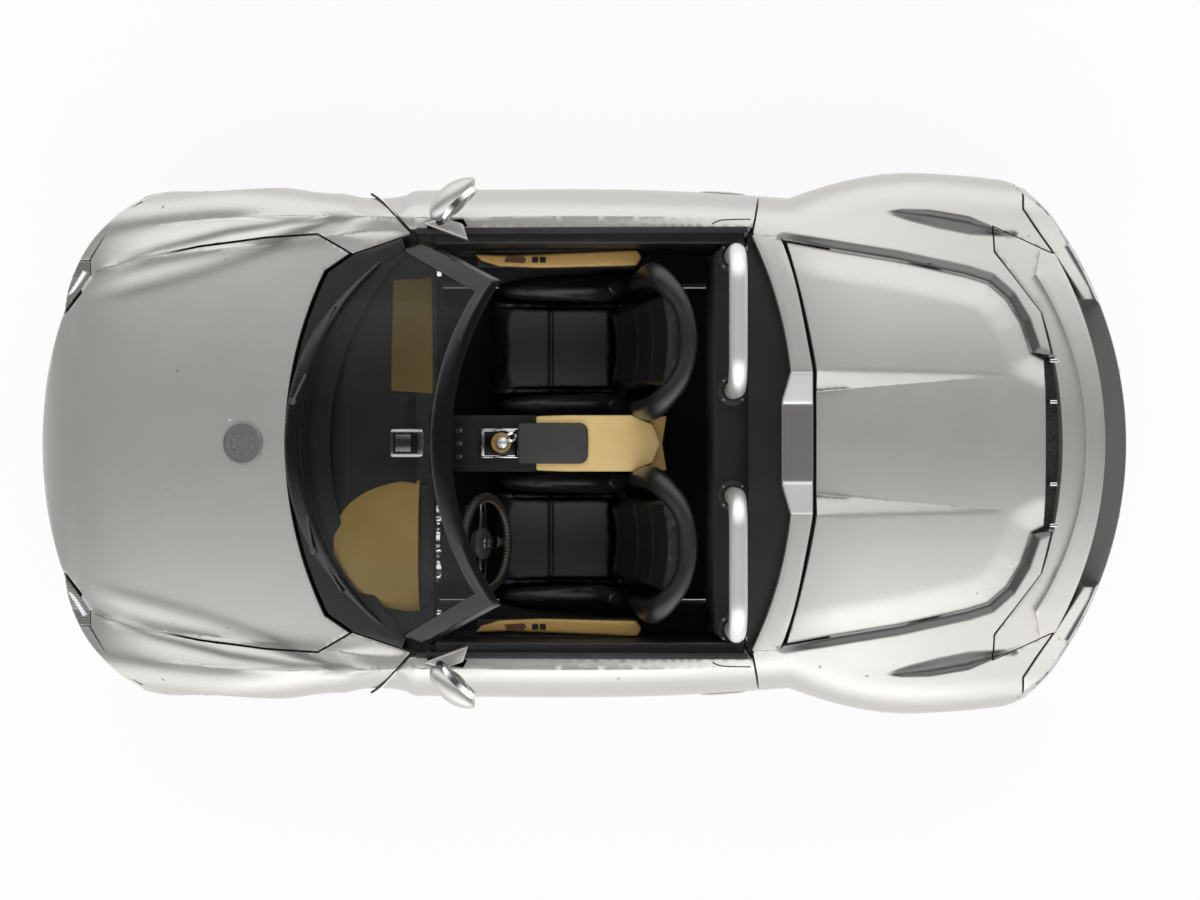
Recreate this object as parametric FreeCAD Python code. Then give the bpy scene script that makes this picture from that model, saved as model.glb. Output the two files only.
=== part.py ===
import FreeCAD, Part
import math
import os

V = FreeCAD.Vector

# ------------------------------------------------------------------ driving sizes
# Millimetres. X runs rearward, Y to the car's right and Z up. The ground is Z = 0.
LENGTH = 3790.0
NOSE_X = -LENGTH / 2
TAIL_X = LENGTH / 2
FRONT_AXLE_X = -1170.0
REAR_AXLE_X = 1190.0
GAP = 7.0
PIN_CLEARANCE = 0.5
SILL_Z = 150.0
PAD_Z = 140.0
LID_THICKNESS = 30.0
SIDES = [("left", -1), ("right", 1)]

# Wheels
TYRE_R = 325.0
RIM_R = 240.0
WELL_R = 372.0
WELL_Y = 430.0
KINGPIN_INSET = 40.0
SPINDLE_R = 22.0
SHAFT_R = 18.0
DISC_R = 165.0
SPOKE_PAIRS = 5
WHEELS = [
    # name, axle_x, side, track_y, tyre_width
    ("front_left", FRONT_AXLE_X, -1, 735.0, 225.0),
    ("front_right", FRONT_AXLE_X, 1, 735.0, 225.0),
    ("rear_left", REAR_AXLE_X, -1, 757.0, 255.0),
    ("rear_right", REAR_AXLE_X, 1, 757.0, 255.0),
]

# Heights where the panels part
BUMPER_TOP_Z = 470.0
REAR_BUMPER_TOP_Z = 600.0
DOOR_BOTTOM_Z = 202.0
FIREWALL_TOP_Z = 712.0
FLOOR_TOP_Z = 168.0
FOOTWELL_HALF = 425.0
FOOT_WING_X = -794.0
DOOR_INNER_Y = 712.0
FRONT_BUMPER_END_X = -1510.0
BUMPER_INNER_X = -1825.0
TOW_EYE_R = 7.0
PLATE_X = 1864.0
REAR_BUMPER_START_X = 1480.0
LEAN_START_Z = 480.0
LEAN_END_Z = 1100.0
LEAN = 0.28

# Cross sections of the whole body. The crown arc runs over the middle between the
# two valleys, then a line to the crest, an arc to the widest point, an arc to the sill.
# Columns: x, z_mid, y_val, z_val, y_crest, z_crest, y_wide, z_wide, y_low
HULL_FRONT = [
    (-1950, 440, 560, 412, 690, 395, 842, 330, 815),
    (-1700, 612, 592, 583, 715, 598, 860, 470, 836),
    (-1450, 682, 642, 640, 742, 688, 868, 562, 842),
    (-1170, 737, 668, 690, 758, 750, 885, 612, 852),
    (-880, 786, 694, 742, 762, 770, 853, 608, 840),
    (-560, 846, 700, 826, 748, 840, 855, 605, 842),
]
HULL_MIDDLE = [
    HULL_FRONT[-1],
    (-100, 882, 700, 850, 752, 858, 858, 612, 842),
    (300, 908, 690, 870, 750, 868, 850, 620, 836),
    (690, 940, 668, 888, 742, 862, 824, 640, 812),
]
HULL_REAR = [
    HULL_MIDDLE[-1],
    (860, 944, 640, 870, 768, 822, 884, 640, 850),
    (1190, 922, 590, 850, 790, 794, 922.5, 620, 880),
    (1450, 894, 565, 824, 772, 768, 897, 612, 862),
    (1700, 866, 540, 800, 735, 738, 880, 600, 850),
    (1950, 835, 520, 775, 700, 705, 860, 590, 840),
]

# Edges of the lids on the right side, as (x, y) from front to rear
BONNET_EDGE = [
    (-1800, 455),
    (-1690, 588),
    (-1527, 637),
    (-1307, 675),
    (-1080, 699),
    (-894, 707),
    (-775, 636),
    (-867, 576),
]
BONNET_REAR_X = -997.0
LID_EDGE = [
    (660, 669),
    (1037, 610),
    (1271, 560),
    (1346, 537),
    (1409, 481),
    (1455, 402),
    (1488, 300),
    (1530, 280),
]
LID_FRONT_X = 757.0
ARCH_OUTER_Y = 684.0

# Tail band: its front edge is an arc with straight ends, and so is its rear edge
BAND_FRONT_X = 1580.0
BAND_REAR_X = 1719.0
BAND_HALF = 630.0

# Seats
SEAT_Y = 338.0
SEAT_HALF = 245.0
SEAT_LOW_HALF = 190.0

# Steering wheel
WHEEL_CENTRE = V(-326, -335, 800)
COLUMN_TILT = 25.0
HAND_WHEEL_R = 155.0

# Roll hoops
HOOP_X = 497.0
HOOP_TUBE_R = 30.0
HOOP_TOP_Z = 1072.0
HOOP_INNER_Y = 176.0
HOOP_OUTER_Y = 620.0
HOOP_CORNER_R = 105.0
DECK_WELL_Z = 800.0

# ------------------------------------------------------------------ helpers


def box(x0, x1, y0, y1, z0, z1):
    return Part.makeBox(x1 - x0, y1 - y0, z1 - z0, V(x0, y0, z0))


def rod(radius, start, end):
    axis = end - start
    return Part.makeCylinder(radius, axis.Length, start, axis)


def outline(points):
    """A closed plan wire: each item is (x, y), or (via_x, via_y, x, y) for an arc."""
    here = V(points[0][-2], points[0][-1], 0)
    edges = []
    for item in points[1:] + points[:1]:
        there = V(item[-2], item[-1], 0)
        if len(item) == 4:
            edges.append(Part.Arc(here, V(item[0], item[1], 0), there).toShape())
        else:
            edges.append(Part.makeLine(here, there))
        here = there
    return Part.Wire(edges)


def prism(points, z0, z1, grow=0.0):
    """A plan outline raised from z0 to z1, grown or shrunk all round if asked."""
    face = Part.Face(outline(points))
    if grow:
        face = Part.Face(face.OuterWire.makeOffset2D(grow))
    face.translate(V(0, 0, z0))
    return face.extrude(V(0, 0, z1 - z0))


def two_sided(right, closing=None):
    """Right-side points from front to rear, then their mirror image back to the front."""
    left = []
    for index in range(len(right) - 1, -1, -1):
        item = right[index]
        after = right[index + 1] if index + 1 < len(right) else ()
        if len(after) == 4:
            left.append((after[0], -after[1], item[-2], -item[-1]))
        else:
            left.append((item[-2], -item[-1]))
    if closing:
        first = right[0]
        return [(closing, 0, first[-2], first[-1])] + right[1:] + left
    return right + left


def sided(shape, side):
    """The shape as drawn on the right, or its mirror image on the left."""
    if side > 0:
        return shape
    return shape.mirror(V(0, 0, 0), V(0, 1, 0))


def joined(shapes):
    whole = shapes[0]
    for shape in shapes[1:]:
        whole = whole.fuse(shape)
    return whole.removeSplitter()


def largest(shape):
    return max(shape.Solids, key=lambda solid: solid.Volume)


def both(right):
    """A piece drawn on the right, with its mirror image, as separate solids."""
    return Part.makeCompound([right, sided(right, -1)])


def moved(shape, dx, dy, dz):
    copy = shape.copy()
    copy.translate(V(dx, dy, dz))
    return copy


def slab_xz(points, y0, y1):
    """A side-view polygon of (x, z) points, drawn out from y0 to y1."""
    corners = [V(x, y0, z) for x, z in points]
    face = Part.Face(Part.makePolygon(corners + corners[:1]))
    return face.extrude(V(0, y1 - y0, 0))


def slab_yz(points, x0, x1):
    """A front-view polygon of (y, z) points, drawn out from x0 to x1."""
    corners = [V(x0, y, z) for y, z in points]
    face = Part.Face(Part.makePolygon(corners + corners[:1]))
    return face.extrude(V(x1 - x0, 0, 0))


def save(name, shape):
    if not shape.isValid():
        print("NOT VALID:", name)
    size = shape.optimalBoundingBox(False)
    print("%-20s solids %d  %8.4f m3  x %6.0f %6.0f  y %6.0f %6.0f  z %6.0f %6.0f" % (
        name, len(shape.Solids), shape.Volume / 1e9,
        size.XMin, size.XMax, size.YMin, size.YMax, size.ZMin, size.ZMax))
    shape.exportStep("parts/%s.step" % name)


# ------------------------------------------------------------------ body hull


def section(x, z_mid, y_val, z_val, y_crest, z_crest, y_wide, z_wide, y_low):
    """One closed cross section of lines and arcs."""
    shoulder_y = y_crest + 0.74 * (y_wide - y_crest)
    shoulder_z = z_crest - 0.30 * (z_crest - z_wide)
    flank_y = y_wide - 0.18 * (y_wide - y_low)
    flank_z = (z_wide + SILL_Z) / 2

    def at(y, z):
        return V(x, y, z)

    edges = [
        Part.Arc(at(-y_val, z_val), at(0, z_mid), at(y_val, z_val)).toShape(),
        Part.makeLine(at(y_val, z_val), at(y_crest, z_crest)),
        Part.Arc(at(y_crest, z_crest), at(shoulder_y, shoulder_z), at(y_wide, z_wide)).toShape(),
        Part.Arc(at(y_wide, z_wide), at(flank_y, flank_z), at(y_low, SILL_Z)).toShape(),
        Part.makeLine(at(y_low, SILL_Z), at(-y_low, SILL_Z)),
        Part.Arc(at(-y_low, SILL_Z), at(-flank_y, flank_z), at(-y_wide, z_wide)).toShape(),
        Part.Arc(at(-y_wide, z_wide), at(-shoulder_y, shoulder_z), at(-y_crest, z_crest)).toShape(),
        Part.makeLine(at(-y_crest, z_crest), at(-y_val, z_val)),
    ]
    return Part.Wire(edges)


def loft(rows):
    return Part.makeLoft([section(*row) for row in rows], True, False)


def plan_outline(inset):
    """The nose and tail as seen from above, drawn in by an inset; the hull has the flanks."""
    right = [
        (NOSE_X + 79 + inset, 470 - 0.3 * inset),
        (-1722 + 0.7 * inset, 709 - 0.7 * inset, -1445 + 0.2 * inset, 890 - inset),
        (-1350, 1000),
        (1380, 1000),
        (1400, 950 - inset),
        (1554 - 0.6 * inset, 874 - 0.8 * inset, 1668 - 0.9 * inset, 745 - 0.5 * inset),
    ]
    points = two_sided(right, closing=NOSE_X + inset)
    tail = points[len(right)]
    points[len(right)] = (TAIL_X - inset, 0, tail[-2], tail[-1])
    return points


def outer_plan():
    """Upright ends up to the bumper line, leaning inwards above it."""
    upright = prism(plan_outline(0), 0, LEAN_START_Z)
    rings = []
    for z, inset in ((LEAN_START_Z, 0), (LEAN_END_Z, (LEAN_END_Z - LEAN_START_Z) * LEAN)):
        ring = outline(plan_outline(inset))
        ring.translate(V(0, 0, z))
        rings.append(ring)
    return upright.fuse(Part.makeLoft(rings, True, True))


def wheel_wells():
    wells = []
    for name, axle_x, side, track_y, tyre_width in WHEELS:
        wells.append(rod(WELL_R, V(axle_x, side * WELL_Y, TYRE_R), V(axle_x, side * 1000, TYRE_R)))
    return Part.makeCompound(wells)


def bonnet_plan():
    right = [(-2000, 400)] + BONNET_EDGE
    points = two_sided(right)
    rear = points[len(right)]
    points[len(right)] = (BONNET_REAR_X, 0, rear[-2], rear[-1])
    return points


def lid_plan():
    right = [(LID_FRONT_X, 235), (712, 470, 660, 669)] + LID_EDGE[1:]
    return two_sided(right)


def band_plan():
    """The tail band, from its front edge round its outer ends to its rear edge."""
    chord = 430
    return [
        (BAND_FRONT_X, 0, 1520, chord),
        (1370, 640),
        (1370, 722),
        (1570, BAND_HALF),
        (BAND_REAR_X, 0, 1570, -BAND_HALF),
        (1370, -722),
        (1370, -640),
        (1520, -chord),
    ]


# ------------------------------------------------------------------ front of the body


def front_bumper(body, wells):
    shell = body.common(box(-2000, FRONT_BUMPER_END_X, -1000, 1000, SILL_Z, BUMPER_TOP_Z))
    cavity = two_sided([(BUMPER_INNER_X, 360), (-1752, 500), (-1640, 640), (-1500, 735)])
    boss = V(-1848, 345, 420)
    shell = shell.cut(prism(cavity, 0, 1000)).cut(wells)
    shell = shell.fuse(rod(18, boss, boss + V(48, 0, 0))).removeSplitter()
    shell = shell.cut(box(-2000, -1700, -300, 300, 215, 375))
    for side in (-1, 1):
        y0, y1 = sorted((side * 395, side * 600))
        shell = shell.cut(box(-2000, -1600, y0, y1, 225, 365))
    shell = shell.cut(rod(26, boss, boss - V(100, 0, 0)))
    return shell.cut(rod(TOW_EYE_R, boss - V(1, 0, 0), boss + V(40, 0, 0)))


def front_grille():
    """Slats and two posts inside the middle and side intakes."""
    bars = []
    for level in range(5):
        z = 232 + 30 * level
        bars.append(box(BUMPER_INNER_X, BUMPER_INNER_X + 25, -299, 299, z, z + 8))
    for y in (-200, 0, 200):
        bars.append(box(BUMPER_INNER_X + 5, BUMPER_INNER_X + 20, y - 5, y + 5, 216, 374))
    return joined(bars)


def fender_plan():
    return [(-2000, 400)] + BONNET_EDGE[:-1] + [
        (-600, 690), (-578, 698), (-728, 864), (-728, 1000), (-2000, 1000)]


def front_fender(body, wells, side):
    panel = body.common(prism(fender_plan(), 0, 1000))
    panel = panel.cut(box(-2000, FRONT_BUMPER_END_X, 0, 1000, 0, BUMPER_TOP_Z + GAP))
    panel = panel.cut(wells)
    panel = panel.cut(prism(lamp_plan(), 430, 1000, GAP / 2))
    panel = panel.cut(box(-729, 0, 0, 1000, 0, DOOR_BOTTOM_Z)).cut(box(-729, 0, 0, 697, 0, 407))
    return sided(largest(panel), side)


def lamp_plan():
    return [(-1900, 428), (-1800, 458), (-1702, 577), (-1702, 628), (-1900, 628)]


def headlamps(body):
    lamp = body.common(prism(lamp_plan(), BUMPER_TOP_Z + GAP, 700))
    return both(lamp)


def bonnet(body, hull):
    panel = body.common(prism(bonnet_plan(), BUMPER_TOP_Z + GAP, 1000, -GAP))
    panel = panel.cut(both(prism(lamp_plan(), 430, 1000, 13)))
    return panel.cut(moved(hull, 0, 0, -LID_THICKNESS))


def cowl_panel(body, hull):
    points = [
        (-590, 640),
        (-606, 684),
        (-769, 632),
        (-858, 572),
        (BONNET_REAR_X + GAP, 0, -858, -572),
        (-769, -632),
        (-606, -684),
        (-590, -640),
    ]
    points[0] = (-850, 0, -590, 640)
    panel = body.common(prism(points, 500, 1000))
    return panel.cut(moved(hull, 0, 0, -LID_THICKNESS))


# ------------------------------------------------------------------ windscreen


def crescent(z, centre_x, end_x, end_y, thickness):
    front = [V(end_x, -end_y, z), V(centre_x, 0, z), V(end_x, end_y, z)]
    rear = [V(p.x + thickness, p.y, z) for p in front]
    return Part.Wire([
        Part.Arc(*front).toShape(),
        Part.makeLine(front[2], rear[2]),
        Part.Arc(rear[2], rear[1], rear[0]).toShape(),
        Part.makeLine(rear[0], front[0]),
    ])


def screen_opening():
    return slab_yz([(-652, 801), (652, 801), (478, 1140), (-478, 1140)], -1200, 0)


def windscreen(hull):
    thick = Part.makeLoft([crescent(760, -1014, -602, 702, 34), crescent(1170, -443, -287, 512, 30)],
                          True, True)
    thin = Part.makeLoft([crescent(760, -1006, -594, 702, 11), crescent(1170, -435, -279, 512, 11)],
                         True, True)
    frame = thick.cut(screen_opening()).cut(hull)
    glass = thin.common(screen_opening()).cut(hull)
    return frame, glass


# ------------------------------------------------------------------ cabin


def cabin_tub():
    """Floor pan whose footwells are narrow where the front wheels turn beside them."""
    foot_half = FOOTWELL_HALF
    floor = box(FOOT_WING_X, 440, -568, 568, SILL_Z, FLOOR_TOP_Z)
    foot_floor = box(-1010, FOOT_WING_X, -foot_half, foot_half, SILL_Z, FLOOR_TOP_Z)
    firewall = box(-1010, -992, -foot_half, foot_half, FLOOR_TOP_Z, FIREWALL_TOP_Z)
    toe_board = slab_xz([(-992, FLOOR_TOP_Z), (-992, 420), (-974, 420), (-900, FLOOR_TOP_Z)],
                        -foot_half, foot_half)
    wings = box(FOOT_WING_X, FOOT_WING_X + 18, -568, 568, FLOOR_TOP_Z, 560).cut(
        box(FOOT_WING_X - 10, FOOT_WING_X + 28, -foot_half, foot_half, FLOOR_TOP_Z, 560))
    sides = []
    for side in (-1, 1):
        y0, y1 = sorted((side * (foot_half - 15), side * foot_half))
        sides.append(box(-992, FOOT_WING_X + 18, y0, y1, FLOOR_TOP_Z, FIREWALL_TOP_Z))
    return joined([floor, foot_floor, firewall, toe_board, wings] + sides)


def side_sills(body):
    outer = body.common(box(-722, 590, 570, 1000, SILL_Z, DOOR_BOTTOM_Z - 8))
    beam = box(-722, 434, 570, 690, SILL_Z, 400)
    pads = [box(x - 45, x + 45, 585, 645, PAD_Z, SILL_Z) for x in (-600, 480)]
    return both(joined([outer, beam] + pads))


def dashboard():
    side_view = [(-880, 610), (-880, 742), (-800, 768), (-560, 790), (-505, 765), (-490, 690),
                 (-540, 610)]
    plan = [(-590, 636), (-480, 640), (-480, -640), (-590, -636)]
    plan[0] = (-846, 0, -590, 636)
    core = slab_xz(side_view, -640, 640).common(prism(plan, 500, 1000))
    cover_view = [(-640, 782), (-640, 794), (-560, 802), (-494, 771), (-478, 690), (-490, 690),
                  (-505, 765), (-560, 790)]
    passenger = slab_xz(cover_view, 162, 556)
    dome = rod(505, V(-900, -344, 343), V(-400, -344, 343))
    dome_plan = [(-752, -344, -548, -150), (-548, -538)]
    dome = dome.common(prism(dome_plan, 760, 1000))
    tilt = math.radians(COLUMN_TILT)
    axis = V(math.cos(tilt), 0, math.sin(tilt))
    column_hole = rod(27, WHEEL_CENTRE - axis * 240, WHEEL_CENTRE)
    return joined([core, passenger, dome]).cut(column_hole)


def steering_column():
    tilt = math.radians(COLUMN_TILT)
    axis = V(math.cos(tilt), 0, math.sin(tilt))
    top = WHEEL_CENTRE - axis * 58
    tube = rod(26, WHEEL_CENTRE - axis * 235, top)
    pin = rod(9, top, WHEEL_CENTRE - axis * 8)
    return tube.fuse(pin)


def steering_wheel():
    rim = Part.makeTorus(HAND_WHEEL_R, 14)
    hub = Part.makeCylinder(52, 34, V(0, 0, -40))
    spokes = [box(30, HAND_WHEEL_R, -17, 17, -16, -4),
              box(-17, 17, 30, HAND_WHEEL_R, -16, -4),
              box(-17, 17, -HAND_WHEEL_R, -30, -16, -4)]
    bore = Part.makeCylinder(9 + PIN_CLEARANCE, 50, V(0, 0, -57))
    wheel = joined([rim, hub] + spokes).cut(bore)
    wheel.rotate(V(0, 0, 0), V(0, 1, 0), 90 - COLUMN_TILT)
    wheel.translate(WHEEL_CENTRE)
    return wheel


def centre_console():
    tunnel = slab_xz([(-890, 168), (-890, 360), (-560, 480), (-400, 520), (-200, 530), (280, 560),
                      (280, 168)], -98, 98)
    tan_top = slab_xz([(-166, 530), (280, 560), (255, 590), (-150, 560)], -98, 98)
    lid = box(-215, 10, -72, 72, 540, 572)
    plate = box(-357, -221, -50, 50, 500, 538)
    lever = rod(9, V(-290, 0, 530), V(-283, 0, 600))
    knob = Part.makeSphere(22, V(-282, 0, 614))
    return joined([tunnel, tan_top, lid, plate, lever, knob])


def seat_cushion():
    pad = slab_xz([(-345, 300), (-345, 380), (-300, 420), (90, 370), (110, 250), (90, 168),
                   (-280, 168)], SEAT_Y - SEAT_LOW_HALF, SEAT_Y + SEAT_LOW_HALF)
    return both(pad)


def seat_back():
    side_view = [(120, 168), (120, 250), (100, 400), (235, 930), (275, 965), (350, 950),
                 (372, 900), (235, 330), (195, 168)]
    back = slab_xz(side_view, SEAT_Y - SEAT_HALF, SEAT_Y + SEAT_HALF)
    for edge in (-1, 1):
        y0, y1 = sorted((SEAT_Y + edge * SEAT_LOW_HALF, SEAT_Y + edge * 300))
        back = back.cut(box(0, 500, y0, y1, 0, 612))
    return both(back)


def roll_hoops():
    y0 = HOOP_INNER_Y
    y1 = HOOP_OUTER_Y
    r = HOOP_CORNER_R
    bend = r * (1 - math.sqrt(0.5))
    top = HOOP_TOP_Z

    def at(y, z):
        return V(HOOP_X, y, z)

    path = Part.Wire([
        Part.makeLine(at(y0, DECK_WELL_Z), at(y0, top - r)),
        Part.Arc(at(y0, top - r), at(y0 + bend, top - bend), at(y0 + r, top)).toShape(),
        Part.makeLine(at(y0 + r, top), at(y1 - r, top)),
        Part.Arc(at(y1 - r, top), at(y1 - bend, top - bend), at(y1, top - r)).toShape(),
        Part.makeLine(at(y1, top - r), at(y1, DECK_WELL_Z)),
    ])
    ring = Part.Wire(Part.makeCircle(HOOP_TUBE_R, at(y0, DECK_WELL_Z), V(0, 0, 1)))
    return both(path.makePipeShell([ring], True, True))


def rear_bulkhead():
    wall = box(440, 545, -640, 640, DOOR_BOTTOM_Z, DECK_WELL_Z)
    wall = wall.fuse(box(440, 545, -568, 568, SILL_Z, DOOR_BOTTOM_Z))
    shelf = box(545, 735, -610, 610, 770, DECK_WELL_Z)
    return wall.fuse(shelf).removeSplitter()


def rear_arch(body, hull):
    right = [(650, 137), (679, 236), (632, 480, 556, ARCH_OUTER_Y), (627, ARCH_OUTER_Y),
             (700, 470, LID_FRONT_X - GAP, 235)]
    band = body.common(prism(two_sided(right), 500, 1200))
    return band.cut(moved(hull, 0, 0, -45))


# ------------------------------------------------------------------ doors


def door_plan(shrink):
    """The plan of a right door opening, or of the door in it."""
    front = shrink * 0.72
    return [
        (-573 + front, 698 + front),
        (-722 + shrink, 864),
        (-722 + shrink, 1000),
        (596 - shrink, 1000),
        (596 - shrink, 866),
        (561 - shrink, 698),
    ]


def door(body, side):
    shell = body.common(prism(door_plan(GAP), DOOR_BOTTOM_Z, 1000))
    shell = shell.common(box(-800, 700, DOOR_INNER_Y, 1000, 0, 1000))
    foot = prism([(-520, 690), (-385, 720), (-400, 745), (-520, 735)], 832, 884)
    stalk = prism([(-500, 700), (-440, 708), (-400, 770), (-440, 780)], 866, 905)
    head = prism([(-520, 735), (-470, 790, -352, 872), (-330, 862), (-470, 732)], 890, 985)
    return sided(joined([shell, foot, stalk, head]), side)


def door_trim(side):
    card = box(-495, 535, 662, DOOR_INNER_Y, 420, 826)
    rest = slab_xz([(-370, 560), (-370, 640), (150, 660), (190, 640), (190, 590)], 600, 662)
    return sided(joined([card, rest]), side)


# ------------------------------------------------------------------ rear of the body


def quarter_plan():
    return [
        (596, 1000),
        (596, 866),
        (561, 698),
        (561, ARCH_OUTER_Y),
        (640, ARCH_OUTER_Y),
    ] + LID_EDGE[:-1] + [
        (1545, 292),
        (1514, 433),
        (1364, 636),
        (1364, 728),
        (1564, 638),
        (1513, 715),
        (1470, 785),
        (1490, 1000),
    ]


def rear_quarter(body, wells, side):
    panel = body.common(prism(quarter_plan(), 0, 1000))
    panel = panel.cut(box(1474, 2000, 0, 1000, 0, REAR_BUMPER_TOP_Z + GAP)).cut(wells)
    panel = panel.cut(box(1200, 1480, 0, 560, 0, 774)).cut(box(500, 598, 0, 1000, 0, DOOR_BOTTOM_Z))
    return sided(largest(panel), side)


def rear_lid(body, hull):
    panel = body.common(prism(lid_plan(), 500, 1000, -GAP))
    panel = panel.cut(moved(hull, 0, 0, -45))
    channel = prism(two_sided([(700, 165), (1380, 220), (1560, 235)]), 500, 1000)
    return panel.cut(channel.cut(moved(hull, 0, 0, -25)))


def tail_panel(body, hull):
    band = body.common(prism(band_plan(), REAR_BUMPER_TOP_Z, 1000))
    hollow = prism([(1655, 0, 1510, 590), (1300, 600), (1300, -600), (1510, -590)],
                   REAR_BUMPER_TOP_Z - 10, 790)
    lip_points = [(1655, 0, 1500, 560), (1520, 640), (1570, BAND_HALF),
                  (BAND_REAR_X, 0, 1570, -BAND_HALF), (1520, -640), (1500, -560)]
    lip = moved(hull, 0, 0, 20).common(prism(lip_points, 700, 1000))
    return joined([band.cut(hollow), lip.cut(hull)])


def tail_lamps(body):
    region = [(1497, 1000), (1477, 787), (1520, 718), (1574, 634), (1664, 480), (1900, 480),
              (1900, 1000)]
    lamp = body.common(prism(region, REAR_BUMPER_TOP_Z, 1000))
    lamp = lamp.cut(prism(band_plan(), 0, 1200, 3.0))
    return both(lamp)


def rear_bumper(body, wells):
    shell = body.common(box(REAR_BUMPER_START_X, 2000, -1000, 1000, SILL_Z, REAR_BUMPER_TOP_Z))
    cavity = two_sided([(1480, 735), (1600, 600), (1700, 480), (1790, 250)])
    shell = shell.cut(prism(cavity, 0, REAR_BUMPER_TOP_Z - 40)).cut(wells)
    shell = shell.cut(prism(two_sided([(1400, 800), (1480, 650), (1630, 440)]), 500, 700))
    shell = shell.cut(box(1700, 2000, -130, 130, 195, 300))
    shell = shell.cut(box(PLATE_X, 2000, -265, 265, 385, 505))
    for y in (-105, 105):
        shell = shell.cut(rod(2.5, V(PLATE_X + 1, y, 445), V(PLATE_X - 20, y, 445)))
    return shell


# ------------------------------------------------------------------ under the skin


def luggage_tub():
    outer = box(-1560, -1010, -360, 360, 250, 600)
    return outer.cut(box(-1545, -1025, -345, 345, 265, 610))


def engine_block():
    engine = box(745, 1150, -280, 280, 210, 700)
    gearbox = box(1150, 1480, -190, 190, 230, 520)
    return engine.fuse(gearbox).removeSplitter()


def exhaust():
    muffler = box(1500, 1690, -420, 420, 240, 400)
    pipes = []
    for y in (-60, 60):
        pipe = rod(42, V(1680, y, 250), V(1885, y, 250))
        pipes.append(pipe.cut(rod(37, V(1720, y, 250), V(1890, y, 250))))
    return joined([muffler] + pipes)


def arms(axle_x, end_y):
    """Lower and upper control arms with the tower that carries them, on the right."""
    pieces = [box(axle_x - 60, axle_x + 60, 380, 428, SILL_Z, 500)]
    for z0, z1 in ((172, 198), (456, 480)):
        pieces.append(prism([(axle_x - 60, 420), (axle_x + 60, 420), (axle_x + 17, end_y - 40),
                                 (axle_x + 17, end_y), (axle_x - 17, end_y),
                                 (axle_x - 17, end_y - 40)], z0, z1))
    return pieces


def front_subframe():
    kingpin_y = 735 - KINGPIN_INSET
    right = arms(FRONT_AXLE_X, kingpin_y + 15)
    right.append(rod(12, V(FRONT_AXLE_X, kingpin_y, 190), V(FRONT_AXLE_X, kingpin_y, 236)))
    right.append(rod(12, V(FRONT_AXLE_X, kingpin_y, 419), V(FRONT_AXLE_X, kingpin_y, 470)))
    right.append(box(BUMPER_INNER_X, -1010, 300, 350, SILL_Z, 200))
    half = joined(right)
    beam = box(FRONT_AXLE_X - 60, FRONT_AXLE_X + 60, -390, 390, SILL_Z, 200)
    return joined([beam, half, sided(half, -1)])


def rear_subframe():
    upright_y = 757 - 92
    right = arms(REAR_AXLE_X, upright_y + 20)
    right.append(box(REAR_AXLE_X - 55, REAR_AXLE_X + 55, upright_y, upright_y + 60, 172, 480))
    right.append(box(REAR_AXLE_X - 170, REAR_AXLE_X - 115, upright_y + 45, upright_y + 132, 265, 385))
    right.append(box(REAR_AXLE_X - 120, REAR_AXLE_X - 50, upright_y + 45, upright_y + 60, 295, 355))
    right.append(box(545, 1740, 300, 350, SILL_Z, 200))
    half = joined(right)
    disc_room = rod(DISC_R + 8, V(REAR_AXLE_X, 757 - 18, TYRE_R), V(REAR_AXLE_X, 757 + 18, TYRE_R))
    half = half.cut(disc_room)
    half = half.cut(rod(SHAFT_R + PIN_CLEARANCE, V(REAR_AXLE_X, 600, TYRE_R),
                        V(REAR_AXLE_X, 760, TYRE_R)))
    half = half.cut(rod(SHAFT_R + 22, V(REAR_AXLE_X, 370, TYRE_R), V(REAR_AXLE_X, 440, TYRE_R)))
    beam = box(REAR_AXLE_X - 60, REAR_AXLE_X + 60, -390, 390, SILL_Z, 200)
    return joined([beam, half, sided(half, -1)])


# ------------------------------------------------------------------ wheels


def turned(profile, axle_x, track_y):
    """A closed (offset outward, radius) profile turned about the axle of a right wheel."""
    corners = [V(axle_x, track_y + w, TYRE_R + r) for w, r in profile]
    face = Part.Face(Part.makePolygon(corners + corners[:1]))
    return face.revolve(V(axle_x, 0, TYRE_R), V(0, 1, 0), 360)


def rim(axle_x, track_y, tyre_width):
    half = (tyre_width - 15) / 2
    barrel = turned([(-half, 247), (-half, 233), (-half + 22, 226), (half - 22, 226), (half, 233),
                     (half, 247), (half - 9, 247), (half - 9, RIM_R), (-half + 9, RIM_R),
                     (-half + 9, 247)], axle_x, track_y)

    def across(radius, w0, w1):
        return rod(radius, V(axle_x, track_y + w0, TYRE_R), V(axle_x, track_y + w1, TYRE_R))

    pieces = [barrel, across(68, 30, 84), across(60, -12, 40), across(DISC_R, -12, 12)]
    for number in range(SPOKE_PAIRS):
        for lean in (-9, 9):
            spoke = slab_xz([(-15, 50), (-12, 231), (12, 231), (15, 50)], 56, 82)
            spoke.rotate(V(0, 0, 0), V(0, 1, 0), lean)
            spoke.rotate(V(0, 0, 0), V(0, 1, 0), 360.0 / SPOKE_PAIRS * number)
            spoke.translate(V(axle_x, track_y, TYRE_R))
            pieces.append(spoke)
    return joined(pieces).cut(across(SPINDLE_R + PIN_CLEARANCE, -40, 52))


def half_shaft(track_y):
    """Drive shaft from the gearbox to the middle of the rear hub."""
    def at(y):
        return V(REAR_AXLE_X, y, TYRE_R)

    flange = rod(SPINDLE_R + PIN_CLEARANCE, at(track_y - 12), at(track_y + 50))
    return joined([rod(SHAFT_R, at(205), at(track_y)), flange])


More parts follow.
